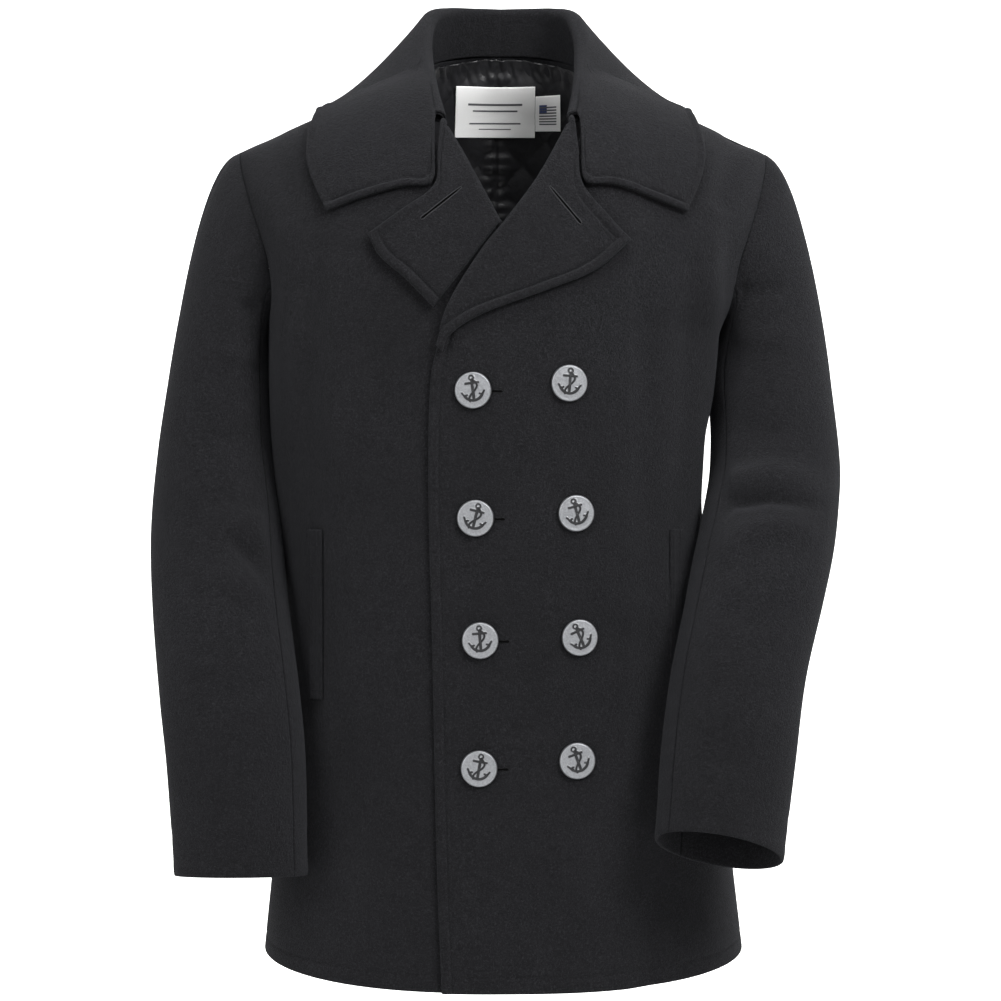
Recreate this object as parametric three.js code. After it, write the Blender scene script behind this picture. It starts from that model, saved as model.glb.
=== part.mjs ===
import * as THREE from "three";

// A filled-out pea coat with nobody in it. Sizes are in millimetres.
// The front faces -Y and +X is the wearer's left. Heights in the tables are above the hem.
const cloth = 2.6;
const lapel_thickness = 4;
const collar_layer = 2;
const seam_gap = 0.3;
const neck_height = 790;
const squareness = 2.5;
const overlap_lift = 4.4;
const overlap_end = 98;
const overlap_fade = 27;
const fold_radius = 4.2;

// Gives each number in short rows its column's name.
const table = (names, rows) => rows.map((row) => Object.fromEntries(names.map((name, i) => [name, row[i]])));

// Sections of the body, from the hem to the shoulder seam. reach is the way up the cloth, height and
// drop place the section at the middle and how far it falls to the shoulder, and arm_front and
// arm_back are how far the armhole seam lies before and behind the side seam.
const body_rows = table(
  [
    "reach", "height", "drop", "half_width", "right_ease", "front",
    "back", "middle", "dip", "arm_front", "arm_back", "nape",
  ],
  [
    [0, 11, 0, 213, 0, 150, 146, 0, 13, 0, 0, 0],
    [150, 150, 0, 197, 3, 150, 143, 0, 7, 0, 0, 0],
    [300, 300, 0, 184, 9, 149, 139, 0, 2, 0, 0, 0],
    [430, 430, 0, 175, 26, 149, 137, 0, 0, 0, 0, 0],
    [555, 555, 4, 183, 22, 152, 144, 0, 0, 0, 0, 0],
    [600, 600, 16, 200, 8, 151, 146, 0, 0, 48, 42, 0],
    [645, 645, 30, 214, 2, 147, 146, 1, 0, 63, 57, 0],
    [690, 690, 46, 226, 0, 139, 142, 3, 0, 62, 58, 0],
    [738, 735, 62, 234, 0, 122, 127, 5, 0, 50, 49, 3],
    [786, 775, 78, 238, 0, 97, 101, 8, 0, 35, 35, 12],
    [830, 804, 92, 240, 0, 66, 67, 10, 0, 22, 22, 28],
    [866, 821, 103, 240, 0, 34, 34, 12, 0, 11, 11, 52],
    [897, 829, 109, 240, 0, 0.8, 0.8, 12, 0, 0, 0, 79],
  ],
);

// How much higher than the shoulder line the back's neck edge stands, by the distance from its middle.
const neck_rise = [
  { x: 0, rise: 3.6 },
  { x: 28, rise: 8.4 },
  { x: 56, rise: 12.3 },
  { x: 76, rise: 8.4 },
  { x: 88, rise: 2 },
  { x: 96, rise: 0 },
];

// The free edge of each front and then its roll line, as far as the neck seam.
const over_edge = [
  { reach: 0, x: -56 },
  { reach: 110, x: -60 },
  { reach: 300, x: -64 },
  { reach: 430, x: -67 },
  { reach: 515, x: -65 },
  { reach: 545, x: -59 },
  { reach: 580, x: -48 },
  { reach: 622, x: -21 },
  { reach: 650, x: 0 },
  { reach: 683, x: 23 },
  { reach: 706, x: 42 },
  { reach: 738, x: 60 },
  { reach: 769, x: 70 },
  { reach: 808, x: 79 },
  { reach: 858, x: 87 },
  { reach: 897, x: 91 },
];
const under_edge = [
  { reach: 0, x: -86 },
  { reach: 300, x: -94 },
  { reach: 515, x: -94 },
  { reach: 550, x: -76 },
  { reach: 600, x: -36 },
  { reach: 650, x: 4 },
  { reach: 683, x: 25 },
  { reach: 706, x: 41 },
  { reach: 738, x: 60 },
  { reach: 769, x: 70 },
  { reach: 808, x: 79 },
  { reach: 858, x: 87 },
  { reach: 897, x: 91 },
];

// Sleeve rings below the armhole. out and fore place the middle, lean tips the ring forward.
const left_rings = table(
  ["along", "height", "out", "fore", "half_width", "half_depth", "lean", "tilt"],
  [
    [0, 522, 239, 10, 52, 66, 2, 0],
    [0.2, 441, 239, 43, 56, 60, 12, 0],
    [0.32, 397, 230, 77, 58, 57, 19, 0],
    [0.42, 362, 221, 100, 59, 55, 23, 0],
    [0.52, 326, 211, 121, 58, 52, 25, 0],
    [0.68, 263, 194, 147, 56, 48, 24, 2],
    [0.84, 196, 183, 168, 55, 45, 24, 6],
    [1, 124, 174, 185, 52, 43, 26, 10],
  ],
);
const right_rings = table(
  ["along", "height", "out", "fore", "half_width", "half_depth", "lean", "tilt"],
  [
    [0, 522, 254, 6, 43, 66, 0, 0],
    [0.16, 455, 257, 16, 49, 62, 6, 0],
    [0.33, 385, 254, 38, 56, 58, 11, 0],
    [0.48, 321, 248, 66, 58, 54, 15, 0],
    [0.67, 240, 237, 100, 59, 49, 13, 0],
    [0.8, 187, 231, 114, 58, 46, 9, 0],
    [1, 95, 226, 127, 55, 43, 7, 0],
  ],
);

const front_seam_angle = 146;
const back_seam_angle = 235;

// Large soft folds. On a front each runs from a high place to a low one, across is X outwards.
const front_folds = [
  { side: 1, high: 700, low: 360, high_x: 186, low_x: 158, width: 15, height: 6 },
  { side: 1, high: 640, low: 420, high_x: 204, low_x: 176, width: 9, height: -4 },
  { side: -1, high: 660, low: 440, high_x: 190, low_x: 180, width: 16, height: 3 },
];
// On a sleeve each lies across it: along and angle place its middle, skew turns it round the arm.
const sleeve_folds = [
  { side: 1, along: 0.5, angle: 95, skew: 0.03, length: 75, width: 0.022, height: -7 },
  { side: 1, along: 0.455, angle: 95, skew: 0.03, length: 80, width: 0.03, height: 4 },
  { side: 1, along: 0.56, angle: 100, skew: -0.02, length: 60, width: 0.03, height: 4 },
  { side: -1, along: 0.47, angle: 100, skew: -0.05, length: 60, width: 0.025, height: -4 },
  { side: -1, along: 0.53, angle: 90, skew: -0.06, length: 70, width: 0.03, height: 3 },
  { side: -1, along: 0.36, angle: 110, skew: 0.04, length: 50, width: 0.025, height: -3 },
];

// Half of the collar, from the middle of the back round to the lapel.
const collar_rows = [
  { round: 0, seam: [0, 92, 822], crease: [0, 92, 864], edge: [0, 130, 772] },
  { round: 0.14, seam: [28, 88, 821], crease: [26, 88, 864], edge: [44, 129, 770] },
  { round: 0.28, seam: [56, 75, 815], crease: [48, 74, 862], edge: [92, 114, 764] },
  { round: 0.43, seam: [78, 45, 802], crease: [63, 50, 855], edge: [136, 76, 762] },
  { round: 0.57, seam: [86, 10, 792], crease: [68, 20, 836], edge: [155, 20, 764] },
  { round: 0.72, seam: [81, -25, 781], crease: [67, -14, 808], edge: [165, -36, 749] },
  { round: 0.86, seam: [72, -66, 762], crease: [62, -58, 776], edge: [169, -88, 704] },
  { round: 1, seam: [62, -94, 739], crease: [55, -100, 743], edge: [150, -121, 657] },
];
// The collar's front end on the lapel: down the gorge seam to the notch, then out to the corner.
const collar_end = [
  { across: 0, x: 55.8, z: 737 },
  { across: 0.17, x: 58.8, z: 706.7 },
  { across: 0.34, x: 62, z: 678.4 },
  { across: 0.55, x: 86, z: 676 },
  { across: 0.78, x: 118, z: 668 },
  { across: 1, x: 150, z: 657 },
];

// Lapels: top is the gorge seam and the top edge to the tip, side is the outer edge from the tip.
const over_lapel = {
  side: 1,
  roll: [
    { along: 0, x: -58, z: 543 },
    { along: 0.2, x: -48, z: 578 },
    { along: 0.42, x: -21, z: 622 },
    { along: 0.58, x: 0, z: 648 },
    { along: 0.78, x: 27, z: 685 },
    { along: 1, x: 55, z: 736 },
  ],
  top: [
    { across: 0, x: 55, z: 736 },
    { across: 0.25, x: 58, z: 706 },
    { across: 0.5, x: 61, z: 677 },
    { across: 0.75, x: 81, z: 652 },
    { across: 1, x: 101, z: 631 },
  ],
  side_edge: [
    { along: 0, x: -54, z: 538 },
    { along: 0.12, x: -48, z: 552 },
    { along: 0.3, x: -22, z: 569 },
    { along: 0.55, x: 32, z: 589 },
    { along: 0.8, x: 72, z: 606 },
    { along: 1, x: 101, z: 631 },
  ],
};
const under_lapel = {
  side: -1,
  roll: [
    { along: 0, x: 7, z: 646 },
    { along: 0.35, x: 27, z: 684 },
    { along: 0.65, x: 41, z: 711 },
    { along: 1, x: 55, z: 736 },
  ],
  top: [
    { across: 0, x: 55, z: 736 },
    { across: 0.25, x: 58, z: 706 },
    { across: 0.5, x: 61, z: 677 },
    { across: 0.75, x: 89, z: 656 },
    { across: 1, x: 116, z: 637 },
  ],
  side_edge: [
    { along: 0, x: 62, z: 575 },
    { along: 0.5, x: 86, z: 600 },
    { along: 0.85, x: 107, z: 619 },
    { along: 1, x: 116, z: 637 },
  ],
};

const button = { radius: 15.5, thickness: 4.2, rim: 1.7, dish: 0.8 };
// Each pair of buttons: middle is how far the closure hangs to the left, slope how one sits higher.
const button_rows = [
  { height: 509, middle: 10.5, spread: 80, slope: 3 },
  { height: 401, middle: 14.5, spread: 84, slope: 2 },
  { height: 297.5, middle: 18, spread: 83, slope: 1 },
  { height: 192, middle: 16.5, spread: 82, slope: 3 },
];
const button_gap = 0.6;
const pocket = { left_x: 143, right_x: 161, low: 242, high: 388, width: 11, thickness: 1.8 };
const lining = {
  low: 640.5,
  high: 893,
  low_width: 118,
  high_width: 78,
  diamond: 44,
  quilt: 1.2,
  inset: 3.6,
  thickness: 1,
};
const label = { x: -5, z: 775, width: 78, height: 45, thickness: 0.6 };
const small_label = { x: 47, z: 774, width: 25, height: 31, thickness: 0.6 };

const wool = new THREE.MeshStandardMaterial({ color: 0x24262c, roughness: 0.95, metalness: 0 });
const satin = new THREE.MeshStandardMaterial({ color: 0x0c0c0f, roughness: 0.35, metalness: 0 });
const pewter = new THREE.MeshStandardMaterial({ color: 0x8f9299, roughness: 0.35, metalness: 0.6 });
const woven_label = new THREE.MeshStandardMaterial({ color: 0xf2f2f0, roughness: 0.6, metalness: 0 });

const coat = new THREE.Group();
coat.position.z = -neck_height;

const mix = (a, b, t) => a + (b - a) * t;
const clamp = (value, low, high) => Math.min(high, Math.max(low, value));
const radians = THREE.MathUtils.degToRad;
const smooth = (value, from, to) => THREE.MathUtils.smoothstep(value, from, to);

// A smooth curve through one column of a table, at any place along its first column.
function column(rows, key, name, place) {
  const last = rows.length - 1;
  const at = clamp(place, rows[0][key], rows[last][key]);
  let k = 0;
  while (k < last - 1 && rows[k + 1][key] < at) {
    k += 1;
  }
  const step = rows[k + 1][key] - rows[k][key];
  const t = (at - rows[k][key]) / step;
  const slope = (i) => {
    const a = Math.max(i - 1, 0);
    const b = Math.min(i + 1, last);
    return (rows[b][name] - rows[a][name]) / (rows[b][key] - rows[a][key]);
  };
  const t2 = t * t;
  const t3 = t2 * t;
  return (
    rows[k][name] * (2 * t3 - 3 * t2 + 1) +
    slope(k) * step * (t3 - 2 * t2 + t) +
    rows[k + 1][name] * (3 * t2 - 2 * t3) +
    slope(k + 1) * step * (t3 - t2)
  );
}

const top_row = body_rows[body_rows.length - 1];
const top_reach = top_row.reach;
const shoulder_round = 25;
const neck_half_width = 88;
const neck_bend = 3.3;

function bodyRow(reach) {
  const row = {};
  for (const name of Object.keys(body_rows[0])) {
    row[name] = column(body_rows, "reach", name, reach);
  }
  return row;
}

// How far the folds raise a front at a place, X outwards.
function frontFold(x, reach, wanted) {
  let raised = 0;
  for (const { side, high, low, high_x, low_x, width, height } of front_folds) {
    if (side === wanted && reach > low && reach < high) {
      const share = (reach - low) / (high - low);
      const off = (x - mix(low_x, high_x, share)) / width;
      raised += height * Math.exp(-off * off) * Math.sin(Math.PI * share) ** 0.7;
    }
  }
  return raised;
}

// How far the folds raise a sleeve at a place along it and round it.
function sleeveFold(along, degrees, wanted) {
  let raised = 0;
  for (const fold of sleeve_folds) {
    const turn = ((degrees - fold.angle + 540) % 360) - 180;
    if (fold.side === wanted && Math.abs(turn) < fold.length) {
      const off = (along - fold.along - (fold.skew * turn) / fold.length) / fold.width;
      raised += fold.height * Math.exp(-off * off) * Math.cos((Math.PI * turn) / fold.length / 2);
    }
  }
  return raised;
}

// The half width of a section on the wearer's left, side 1, or right, side -1.
const halfWidth = (row, side) => row.half_width + (side < 0 ? row.right_ease : 0);

// A point of the body at an angle round from the middle, 90 degrees being the side seam.
// facing is -1 on the front and 1 on the back. Both sides are worked out with X outwards.
function bodyPoint(row, angle, facing, side) {
  const width = Math.sin(angle);
  const depth = Math.pow(Math.max(1 - Math.pow(Math.abs(width), squareness), 0), 1 / squareness);
  const half_width = halfWidth(row, width < 0 ? -side : side);
  const x = half_width * width;
  const neck_share = Math.max(1 - Math.pow(Math.abs(x) / neck_half_width, neck_bend), 0);
  const nape = facing > 0 ? row.nape * neck_share : 0;
  const rise = facing > 0 ? (row.nape / top_row.nape) * column(neck_rise, "x", "rise", Math.abs(x)) : 0;
  const half_depth = facing > 0 ? row.back : row.front;
  const fold = facing < 0 && width > 0 ? frontFold(x, row.reach, side) : 0;
  const y = row.middle + facing * (half_depth * depth + nape + fold);
  const z = row.height - (row.drop * Math.hypot(x, shoulder_round)) / half_width;
  return new THREE.Vector3(x, y, z + rise - (facing < 0 ? row.dip * depth * depth : 0));
}

function armholeAngle(row, facing) {
  const half_depth = facing > 0 ? row.back : row.front;
  const lift = facing > 0 ? row.arm_back : row.arm_front;
  const share = clamp(lift / half_depth, 0, 1);
  return Math.asin(Math.pow(1 - Math.pow(share, squareness), 1 / squareness));
}

// A closed wall over a patch of surface: outer and inner skins and the four rims between them.
function wall(point, across, along, inner, outer, raised = () => 0) {
  const step = 1e-3;
  const positions = [];
  for (const skin of [outer, inner]) {
    for (let j = 0; j <= along; j += 1) {
      for (let i = 0; i <= across; i += 1) {
        const u = i / across;
        const v = j / along;
        const place = point(u, v);
        const du = point(Math.min(u + step, 1), v).sub(point(Math.max(u - step, 0), v));
        const dv = point(u, Math.min(v + step, 1)).sub(point(u, Math.max(v - step, 0)));
        const normal = du.cross(dv).normalize();
        const lift = skin === outer ? skin + raised(u, v) : skin;
        positions.push(...place.addScaledVector(normal, lift).toArray());
      }
    }
  }
  const size = (across + 1) * (along + 1);
  const id = (i, j, k) => k * size + j * (across + 1) + i;
  const faces = [];
  const quad = (a, b, c, d) => faces.push(a, b, c, a, c, d);
  for (let j = 0; j < along; j += 1) {
    for (let i = 0; i < across; i += 1) {
      quad(id(i, j, 0), id(i + 1, j, 0), id(i + 1, j + 1, 0), id(i, j + 1, 0));
      quad(id(i, j, 1), id(i, j + 1, 1), id(i + 1, j + 1, 1), id(i + 1, j, 1));
    }
  }
  for (let i = 0; i < across; i += 1) {
    quad(id(i, 0, 0), id(i, 0, 1), id(i + 1, 0, 1), id(i + 1, 0, 0));
    quad(id(i, along, 0), id(i + 1, along, 0), id(i + 1, along, 1), id(i, along, 1));
  }
  for (let j = 0; j < along; j += 1) {
    quad(id(0, j, 0), id(0, j + 1, 0), id(0, j + 1, 1), id(0, j, 1));
    quad(id(across, j, 0), id(across, j, 1), id(across, j + 1, 1), id(across, j + 1, 0));
  }
  const geometry = new THREE.BufferGeometry();
  geometry.setAttribute("position", new THREE.Float32BufferAttribute(positions, 3));
  geometry.setIndex(faces);
  return geometry;
}

// Turns a geometry made for the wearer's left into the right one.
function mirrored(geometry) {
  const copy = geometry.clone();
  const place = copy.getAttribute("position");
  for (let i = 0; i < place.count; i += 1) {
    place.setX(i, -place.getX(i));
  }
  const faces = copy.getIndex().array;
  for (let i = 0; i < faces.length; i += 3) {
    [faces[i], faces[i + 1]] = [faces[i + 1], faces[i]];
  }
  return copy;
}

function add(name, geometry, material) {
  const mesh = new THREE.Mesh(geometry, material);
  mesh.name = name;
  coat.add(mesh);
  return mesh;
}

// How far the front that buttons over lies above the one beneath.
const overLift = (x) => overlap_lift * (1 - smooth(x, overlap_end, overlap_end + overlap_fade));

// The fronts and backs end this far from the middle of the shoulder seam.
const shoulder_gap = 0.5;
const shoulder_reach = 880;
// The lift dies away up the chest between these places.
const lift_fade = { low: 700, high: 790 };
const armpit_reach = 555;
const skirt_share = 0.4;

// Places up a body panel: a few wide steps to the armpit, then closer ones over the chest and shoulder.
function panelReach(v) {
  if (v < skirt_share) {
    return (armpit_reach * v) / skirt_share;
  }
  return mix(armpit_reach, top_reach, (v - skirt_share) / (1 - skirt_share));
}

const seam_angle = seam_gap / 2 / body_rows[0].half_width;

function frontPoint(edge, side, lift) {
  return (u, v) => {
    const row = bodyRow(panelReach(v));
    const x = column(edge, "reach", "x", row.reach);
    const start = Math.asin(x / halfWidth(row, x < 0 ? -side : side));
    const end = armholeAngle(row, -1) - seam_angle;
    const angle = mix(start, end, u);
    const place = bodyPoint(row, angle, -1, side);
    place.y -= lift(place.x) * (1 - smooth(row.reach, lift_fade.low, lift_fade.high));
    place.y -= shoulder_gap * smooth(row.reach, shoulder_reach, top_reach);
    return place;
  };
}

function backPoint(side) {
  return (u, v) => {
    const row = bodyRow(panelReach(v));
    const start = seam_gap / 2 / row.half_width;
    const end = armholeAngle(row, 1) - seam_angle;
    const place = bodyPoint(row, mix(end, start, u), 1, side);
    place.y += shoulder_gap * smooth(row.reach, shoulder_reach, top_reach);
    return place;
  };
}

// The section of the front that passes through a place on it. A positive x is the wearer's left.
function frontDepth(x, z) {
  const side = Math.sign(x) || 1;
  const depthOn = (row) => {
    const angle = Math.asin(clamp(Math.abs(x) / halfWidth(row, side), 0, 1));
    return bodyPoint(row, angle, -1, side);
  };
  let low = 0;
  let high = top_reach;
  for (let i = 0; i < 30; i += 1) {
    const middle = (low + high) / 2;
    if (depthOn(bodyRow(middle)).z < z) {
      low = middle;
    } else {
      high = middle;
    }
  }
  return depthOn(bodyRow(low)).y;
}

function frontNormal(x, z) {
  const across = new THREE.Vector3(4, frontDepth(x + 2, z) - frontDepth(x - 2, z), 0);
  const along = new THREE.Vector3(0, frontDepth(x, z + 2) - frontDepth(x, z - 2), 4);
  return across.cross(along).normalize();
}

// A place on the fronts, moved out along their normal.
function onFront(x, z, lift) {
  const place = new THREE.Vector3(x, frontDepth(x, z), z);
  return place.addScaledVector(frontNormal(x, z), lift);
}

const front_left = wall(frontPoint(over_edge, 1, overLift), 14, 20, -cloth / 2, cloth / 2);
add("front_left", front_left, wool);
const front_right = wall(frontPoint(under_edge, -1, () => 0), 14, 20, -cloth / 2, cloth / 2);
add("front_right", mirrored(front_right), wool);

add("back_left", wall(backPoint(1), 12, 20, -cloth / 2, cloth / 2), wool);
add("back_right", mirrored(wall(backPoint(-1), 12, 20, -cloth / 2, cloth / 2)), wool);

// The armhole seam, from the shoulder at 0 degrees round the front to the armpit at 180.
function armholePoint(degrees, side) {
  const facing = degrees <= 180 ? -1 : 1;
  const share = degrees <= 180 ? degrees / 180 : (360 - degrees) / 180;
  const row = bodyRow(mix(top_reach, armpit_reach, share));
  return bodyPoint(row, armholeAngle(row, facing), facing, side);
}

function ringPoint(rings, along, degrees, raised = 0) {
  const value = (name) => column(rings, "along", name, along);
  const lean = radians(value("lean"));
  const angle = radians(degrees);
  const forward = (value("half_depth") + raised) * Math.sin(angle);
  const outward = (value("half_width") + raised) * Math.cos(angle);
  return new THREE.Vector3(
    value("out") + outward,
    -value("fore") - forward * Math.cos(lean),
    value("height") + forward * Math.sin(lean) - value("tilt") * Math.cos(angle),
  );
}

const cap_share = 0.3;
const start_gap = 2.6;
const armpit_gap = 2.8;
// How the cap leaves the armhole and arrives at the first ring, at the armpit and at the shoulder.
const cap_forward = 0.35;
const cap_fall = 0.36;
const cap_leave = { low: 26, high: 96 };
const cap_arrive = { low: 60, high: 190 };

// The sleeve: a curved cap from the armhole seam to the first ring, then the rings.
function sleevePoint(rings, side, degrees, along) {
  const turn = ((degrees % 360) + 360) % 360;
  if (along >= cap_share) {
    return ringPoint(rings, (along - cap_share) / (1 - cap_share), turn, sleeveFold(along, turn, side));
  }
  const t = along / cap_share;
  const start = armholePoint(turn, side);
  const end = ringPoint(rings, 0, turn);
  const below = ringPoint(rings, 0.02, turn);
  const upper = (1 + Math.cos(radians(turn))) / 2;
  const front = Math.sin(radians(turn));
  const out = new THREE.Vector3(1, -cap_forward * front, -cap_fall).normalize();
  start.addScaledVector(out, mix(armpit_gap, start_gap, upper));
  const leave = out.multiplyScalar(mix(cap_leave.low, cap_leave.high, upper));
  const arrive = below.sub(end).normalize().multiplyScalar(mix(cap_arrive.low, cap_arrive.high, upper));
  const t2 = t * t;
  const t3 = t2 * t;
  return start
    .multiplyScalar(2 * t3 - 3 * t2 + 1)
    .addScaledVector(leave, t3 - 2 * t2 + t)
    .addScaledVector(end, 3 * t2 - 2 * t3)
    .addScaledVector(arrive, t3 - t2);
}

function sleevePanel(rings, side, from, to, across, along) {
  const trim = THREE.MathUtils.radToDeg(seam_gap / 2 / rings[0].half_width);
  const point = (u, v) => sleevePoint(rings, side, mix(from + trim, to - trim, u), v);
  return wall(point, across, along, -cloth / 2, cloth / 2);
}

for (const [side, rings] of [[1, left_rings], [-1, right_rings]]) {
  const name = side > 0 ? "left" : "right";
  const upper = sleevePanel(rings, side, back_seam_angle - 360, front_seam_angle, 11, 20);
  const under = sleevePanel(rings, side, front_seam_angle, back_seam_angle, 6, 20);
  add(`upper_sleeve_${name}`, side > 0 ? upper : mirrored(upper), wool);
  add(`under_sleeve_${name}`, side > 0 ? under : mirrored(under), wool);
}

// Lapels, turned back at the roll line round the front's edge.
function lapelPoint(shape, base) {
  return (u, v) => {
    const at = (rows, key, place) => [column(rows, key, "x", place), column(rows, key, "z", place)];
    const roll = at(shape.roll, "along", v);
    const outer = at(shape.side_edge, "along", v);
    const top = at(shape.top, "across", u);
    const low = ["x", "z"].map((axis) => mix(shape.roll[0][axis], shape.side_edge[0][axis], u));
    const last = shape.top[shape.top.length - 1];
    const corner = [
      [shape.roll[0].x, shape.roll[0].z],
      [shape.side_edge[0].x, shape.side_edge[0].z],
      [shape.top[0].x, shape.top[0].z],
      [last.x, last.z],
    ];
    const [x, z] = [0, 1].map(
      (k) =>
        mix(roll[k], outer[k], u) +
        mix(low[k], top[k], v) -
        mix(mix(corner[0][k], corner[1][k], u), mix(corner[2][k], corner[3][k], u), v),
    );
    const width = Math.hypot(outer[0] - roll[0], outer[1] - roll[1]);
    const turned = clamp((u * width) / fold_radius, 0, 1);
    const lift = base(x) + lapel_seat + fold_radius * Math.sqrt(1 - Math.pow(1 - turned, 2));
    const place = onFront(x * shape.side, z, lift);
    place.x *= shape.side;
    return place;
  };
}

const lapel_seat = 1.8;
const lapel_half = lapel_thickness / 2;
const over_lapel_wall = wall(lapelPoint(over_lapel, overLift), 10, 12, -lapel_half, lapel_half);
add("lapel_left", over_lapel_wall, wool);
const under_lapel_wall = wall(lapelPoint(under_lapel, () => 0), 9, 8, -lapel_half, lapel_half);
add("lapel_right", mirrored(under_lapel_wall), wool);

// A smooth line through one column of places.
function line(rows, key, name) {
  const flat = rows.map((row) => ({ at: row[key], x: row[name][0], y: row[name][1], z: row[name][2] }));
  return (place) => new THREE.Vector3(...["x", "y", "z"].map((axis) => column(flat, "at", axis, place)));
}

const seam_line = line(collar_rows, "round", "seam");
const crease_line = line(collar_rows, "round", "crease");
const edge_line = line(collar_rows, "round", "edge");
const stand_share = 0.28;
const fold_share = 0.22;
const collar_fold = 5.5;
const leaf_seat = 6.4;
const leaf_front_limit = 8;

// The height of the shoulder seam at a place across it.
const seamHeight = (x) => top_row.height - (top_row.drop * Math.abs(x)) / top_row.half_width;

// The collar's front end, lying on the lapel and the front.
function collarEnd(share, side) {
  const x = column(collar_end, "across", "x", share);
  const z = column(collar_end, "across", "z", share);
  const lift = (side > 0 ? overLift(x) : 0) + lapel_seat + fold_radius;
  const place = onFront(x * side, z, lift);
  place.x *= side;
  return place;
}

// Moves a place of the collar's leaf out to where it lies clear on the front.
function clearOfFront(place, side, strength) {
  const x = place.x * side;
  if (place.y > leaf_front_limit || place.z > seamHeight(place.x)) {
    return place;
  }
  const normal = frontNormal(x, place.z);
  const lift = side > 0 ? overLift(place.x) * smooth(-place.y, 60, 110) : 0;
  const distance = (frontDepth(x, place.z) - place.y) * -normal.y;
  const short = leaf_seat + lift - distance;
  if (short > 0) {
    normal.x *= side;
    place.addScaledVector(normal, short * strength);
  }
  return place;
}

// The collar from its neck seam up the stand, over the fold and down the leaf.
function collarPoint(u, v) {
  const side = u < 0.5 ? -1 : 1;
  const round = Math.abs(2 * u - 1);
  const seam = seam_line(round);
  const crease = crease_line(round);
  const along = crease_line(Math.min(round + 0.02, 1)).sub(crease_line(Math.max(round - 0.02, 0)));
  const up = crease.clone().sub(seam).normalize();
  const out = up.clone().cross(along).normalize();
  const end = collarEnd(1, side);
  const near_end = smooth(round, 0.75, 1);
  const edge = edge_line(round).addScaledVector(end.clone().sub(edge_line(1)), near_end);
  const fall = edge.clone().sub(crease);
  const turn = Math.atan2(fall.dot(out), fall.dot(up));
  const foot = crease.clone().addScaledVector(up, -collar_fold).addScaledVector(out, -collar_fold);
  const arc = (angle) =>
    foot
      .clone()
      .addScaledVector(up, collar_fold * Math.sin(angle))
      .addScaledVector(out, collar_fold * (1 - Math.cos(angle)));
  let place;
  if (v < stand_share) {
    place = seam.lerp(foot, v / stand_share);
  } else if (v < stand_share + fold_share) {
    place = arc((turn * (v - stand_share)) / fold_share);
  } else {
    const share = (v - stand_share - fold_share) / (1 - stand_share - fold_share);
    const start = arc(turn);
    place = start.clone().lerp(edge, share);
    const wanted = collarEnd(share, side);
    wanted.addScaledVector(start.clone().sub(collarEnd(0, side)), Math.pow(1 - share, 5));
    const weight = smooth(round, 0.5, 1);
    place.addScaledVector(wanted.sub(start.lerp(end, share)), weight);
    place = clearOfFront(place, side, smooth(share, -0.02, 0.06));
  }
  place.x *= side;
  return place;
}

const half_gap = seam_gap / 2;
add("top_collar", wall(collarPoint, 24, 12, half_gap, half_gap + collar_layer), wool);
add("under_collar", wall(collarPoint, 24, 12, -half_gap - collar_layer, -half_gap), wool);

// A welt pocket, a strip that lies on the front.
function pocketPoint(side) {
  return (u, v) => {
    const x = (side > 0 ? pocket.left_x : pocket.right_x) + (u - 0.5) * pocket.width;
    const place = onFront(side * x, mix(pocket.low, pocket.high, v), pocketLift);
    place.x *= side;
    return place;
  };
}

const pocketLift = cloth / 2 + 3 * seam_gap + pocket.thickness / 2;
for (const [name, side] of [["left", 1], ["right", -1]]) {
  const welt = wall(pocketPoint(side), 3, 10, -pocket.thickness / 2, pocket.thickness / 2);
  add(`pocket_welt_${name}`, side > 0 ? welt : mirrored(welt), wool);
}

// A button with a raised rim and a shallow dish.
function buttonShape() {
  const { radius, thickness, rim, dish } = button;
  const profile = [
    new THREE.Vector2(0, 0),
    new THREE.Vector2(radius - rim, 0),
    new THREE.Vector2(radius, thickness * 0.4),
    new THREE.Vector2(radius - rim * 0.4, thickness),
    new THREE.Vector2(radius - rim * 1.4, thickness),
    new THREE.Vector2(radius - rim * 2.2, thickness - dish),
    new THREE.Vector2(0, thickness - dish * 0.4),
  ];
  return new THREE.LatheGeometry(profile, 18);
}

for (const [number, pair] of button_rows.entries()) {
  for (const [name, side] of [["right", -1], ["left", 1]]) {
    const x = pair.middle + (side * pair.spread) / 2;
    const height = pair.height + side * pair.slope;
    const seat = cloth / 2 + button_gap;
    const mesh = add(`button_${name}_${number + 1}`, buttonShape(), pewter);
    const normal = frontNormal(x, height);
    mesh.position.copy(onFront(x, height, seat)).y -= overLift(x);
    mesh.quaternion.setFromUnitVectors(new THREE.Vector3(0, 1, 0), normal);
  }
}

// The lining of the back, quilted in diamonds, where it shows in the neck.
function liningPoint(u, v) {
  const row = bodyRow(mix(lining.low, lining.high, v));
  const x = mix(-1, 1, u) * mix(lining.low_width, lining.high_width, v);
  const place = bodyPoint(row, Math.asin(Math.abs(x) / row.half_width), 1, 1);
  place.x *= Math.sign(x) || 1;
  return place;
}

function quilting(u, v) {
  const x = (u - 0.5) * 2 * lining.low_width;
  const z = v * (lining.high - lining.low);
  const one = Math.abs(Math.sin((Math.PI * (x + z)) / lining.diamond));
  const other = Math.abs(Math.sin((Math.PI * (x - z)) / lining.diamond));
  return lining.quilt * Math.sqrt(one * other);
}

const lining_outer = lining.inset + lining.thickness;
add("back_lining", wall(liningPoint, 20, 18, lining.inset, lining_outer, quilting), satin);

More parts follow.
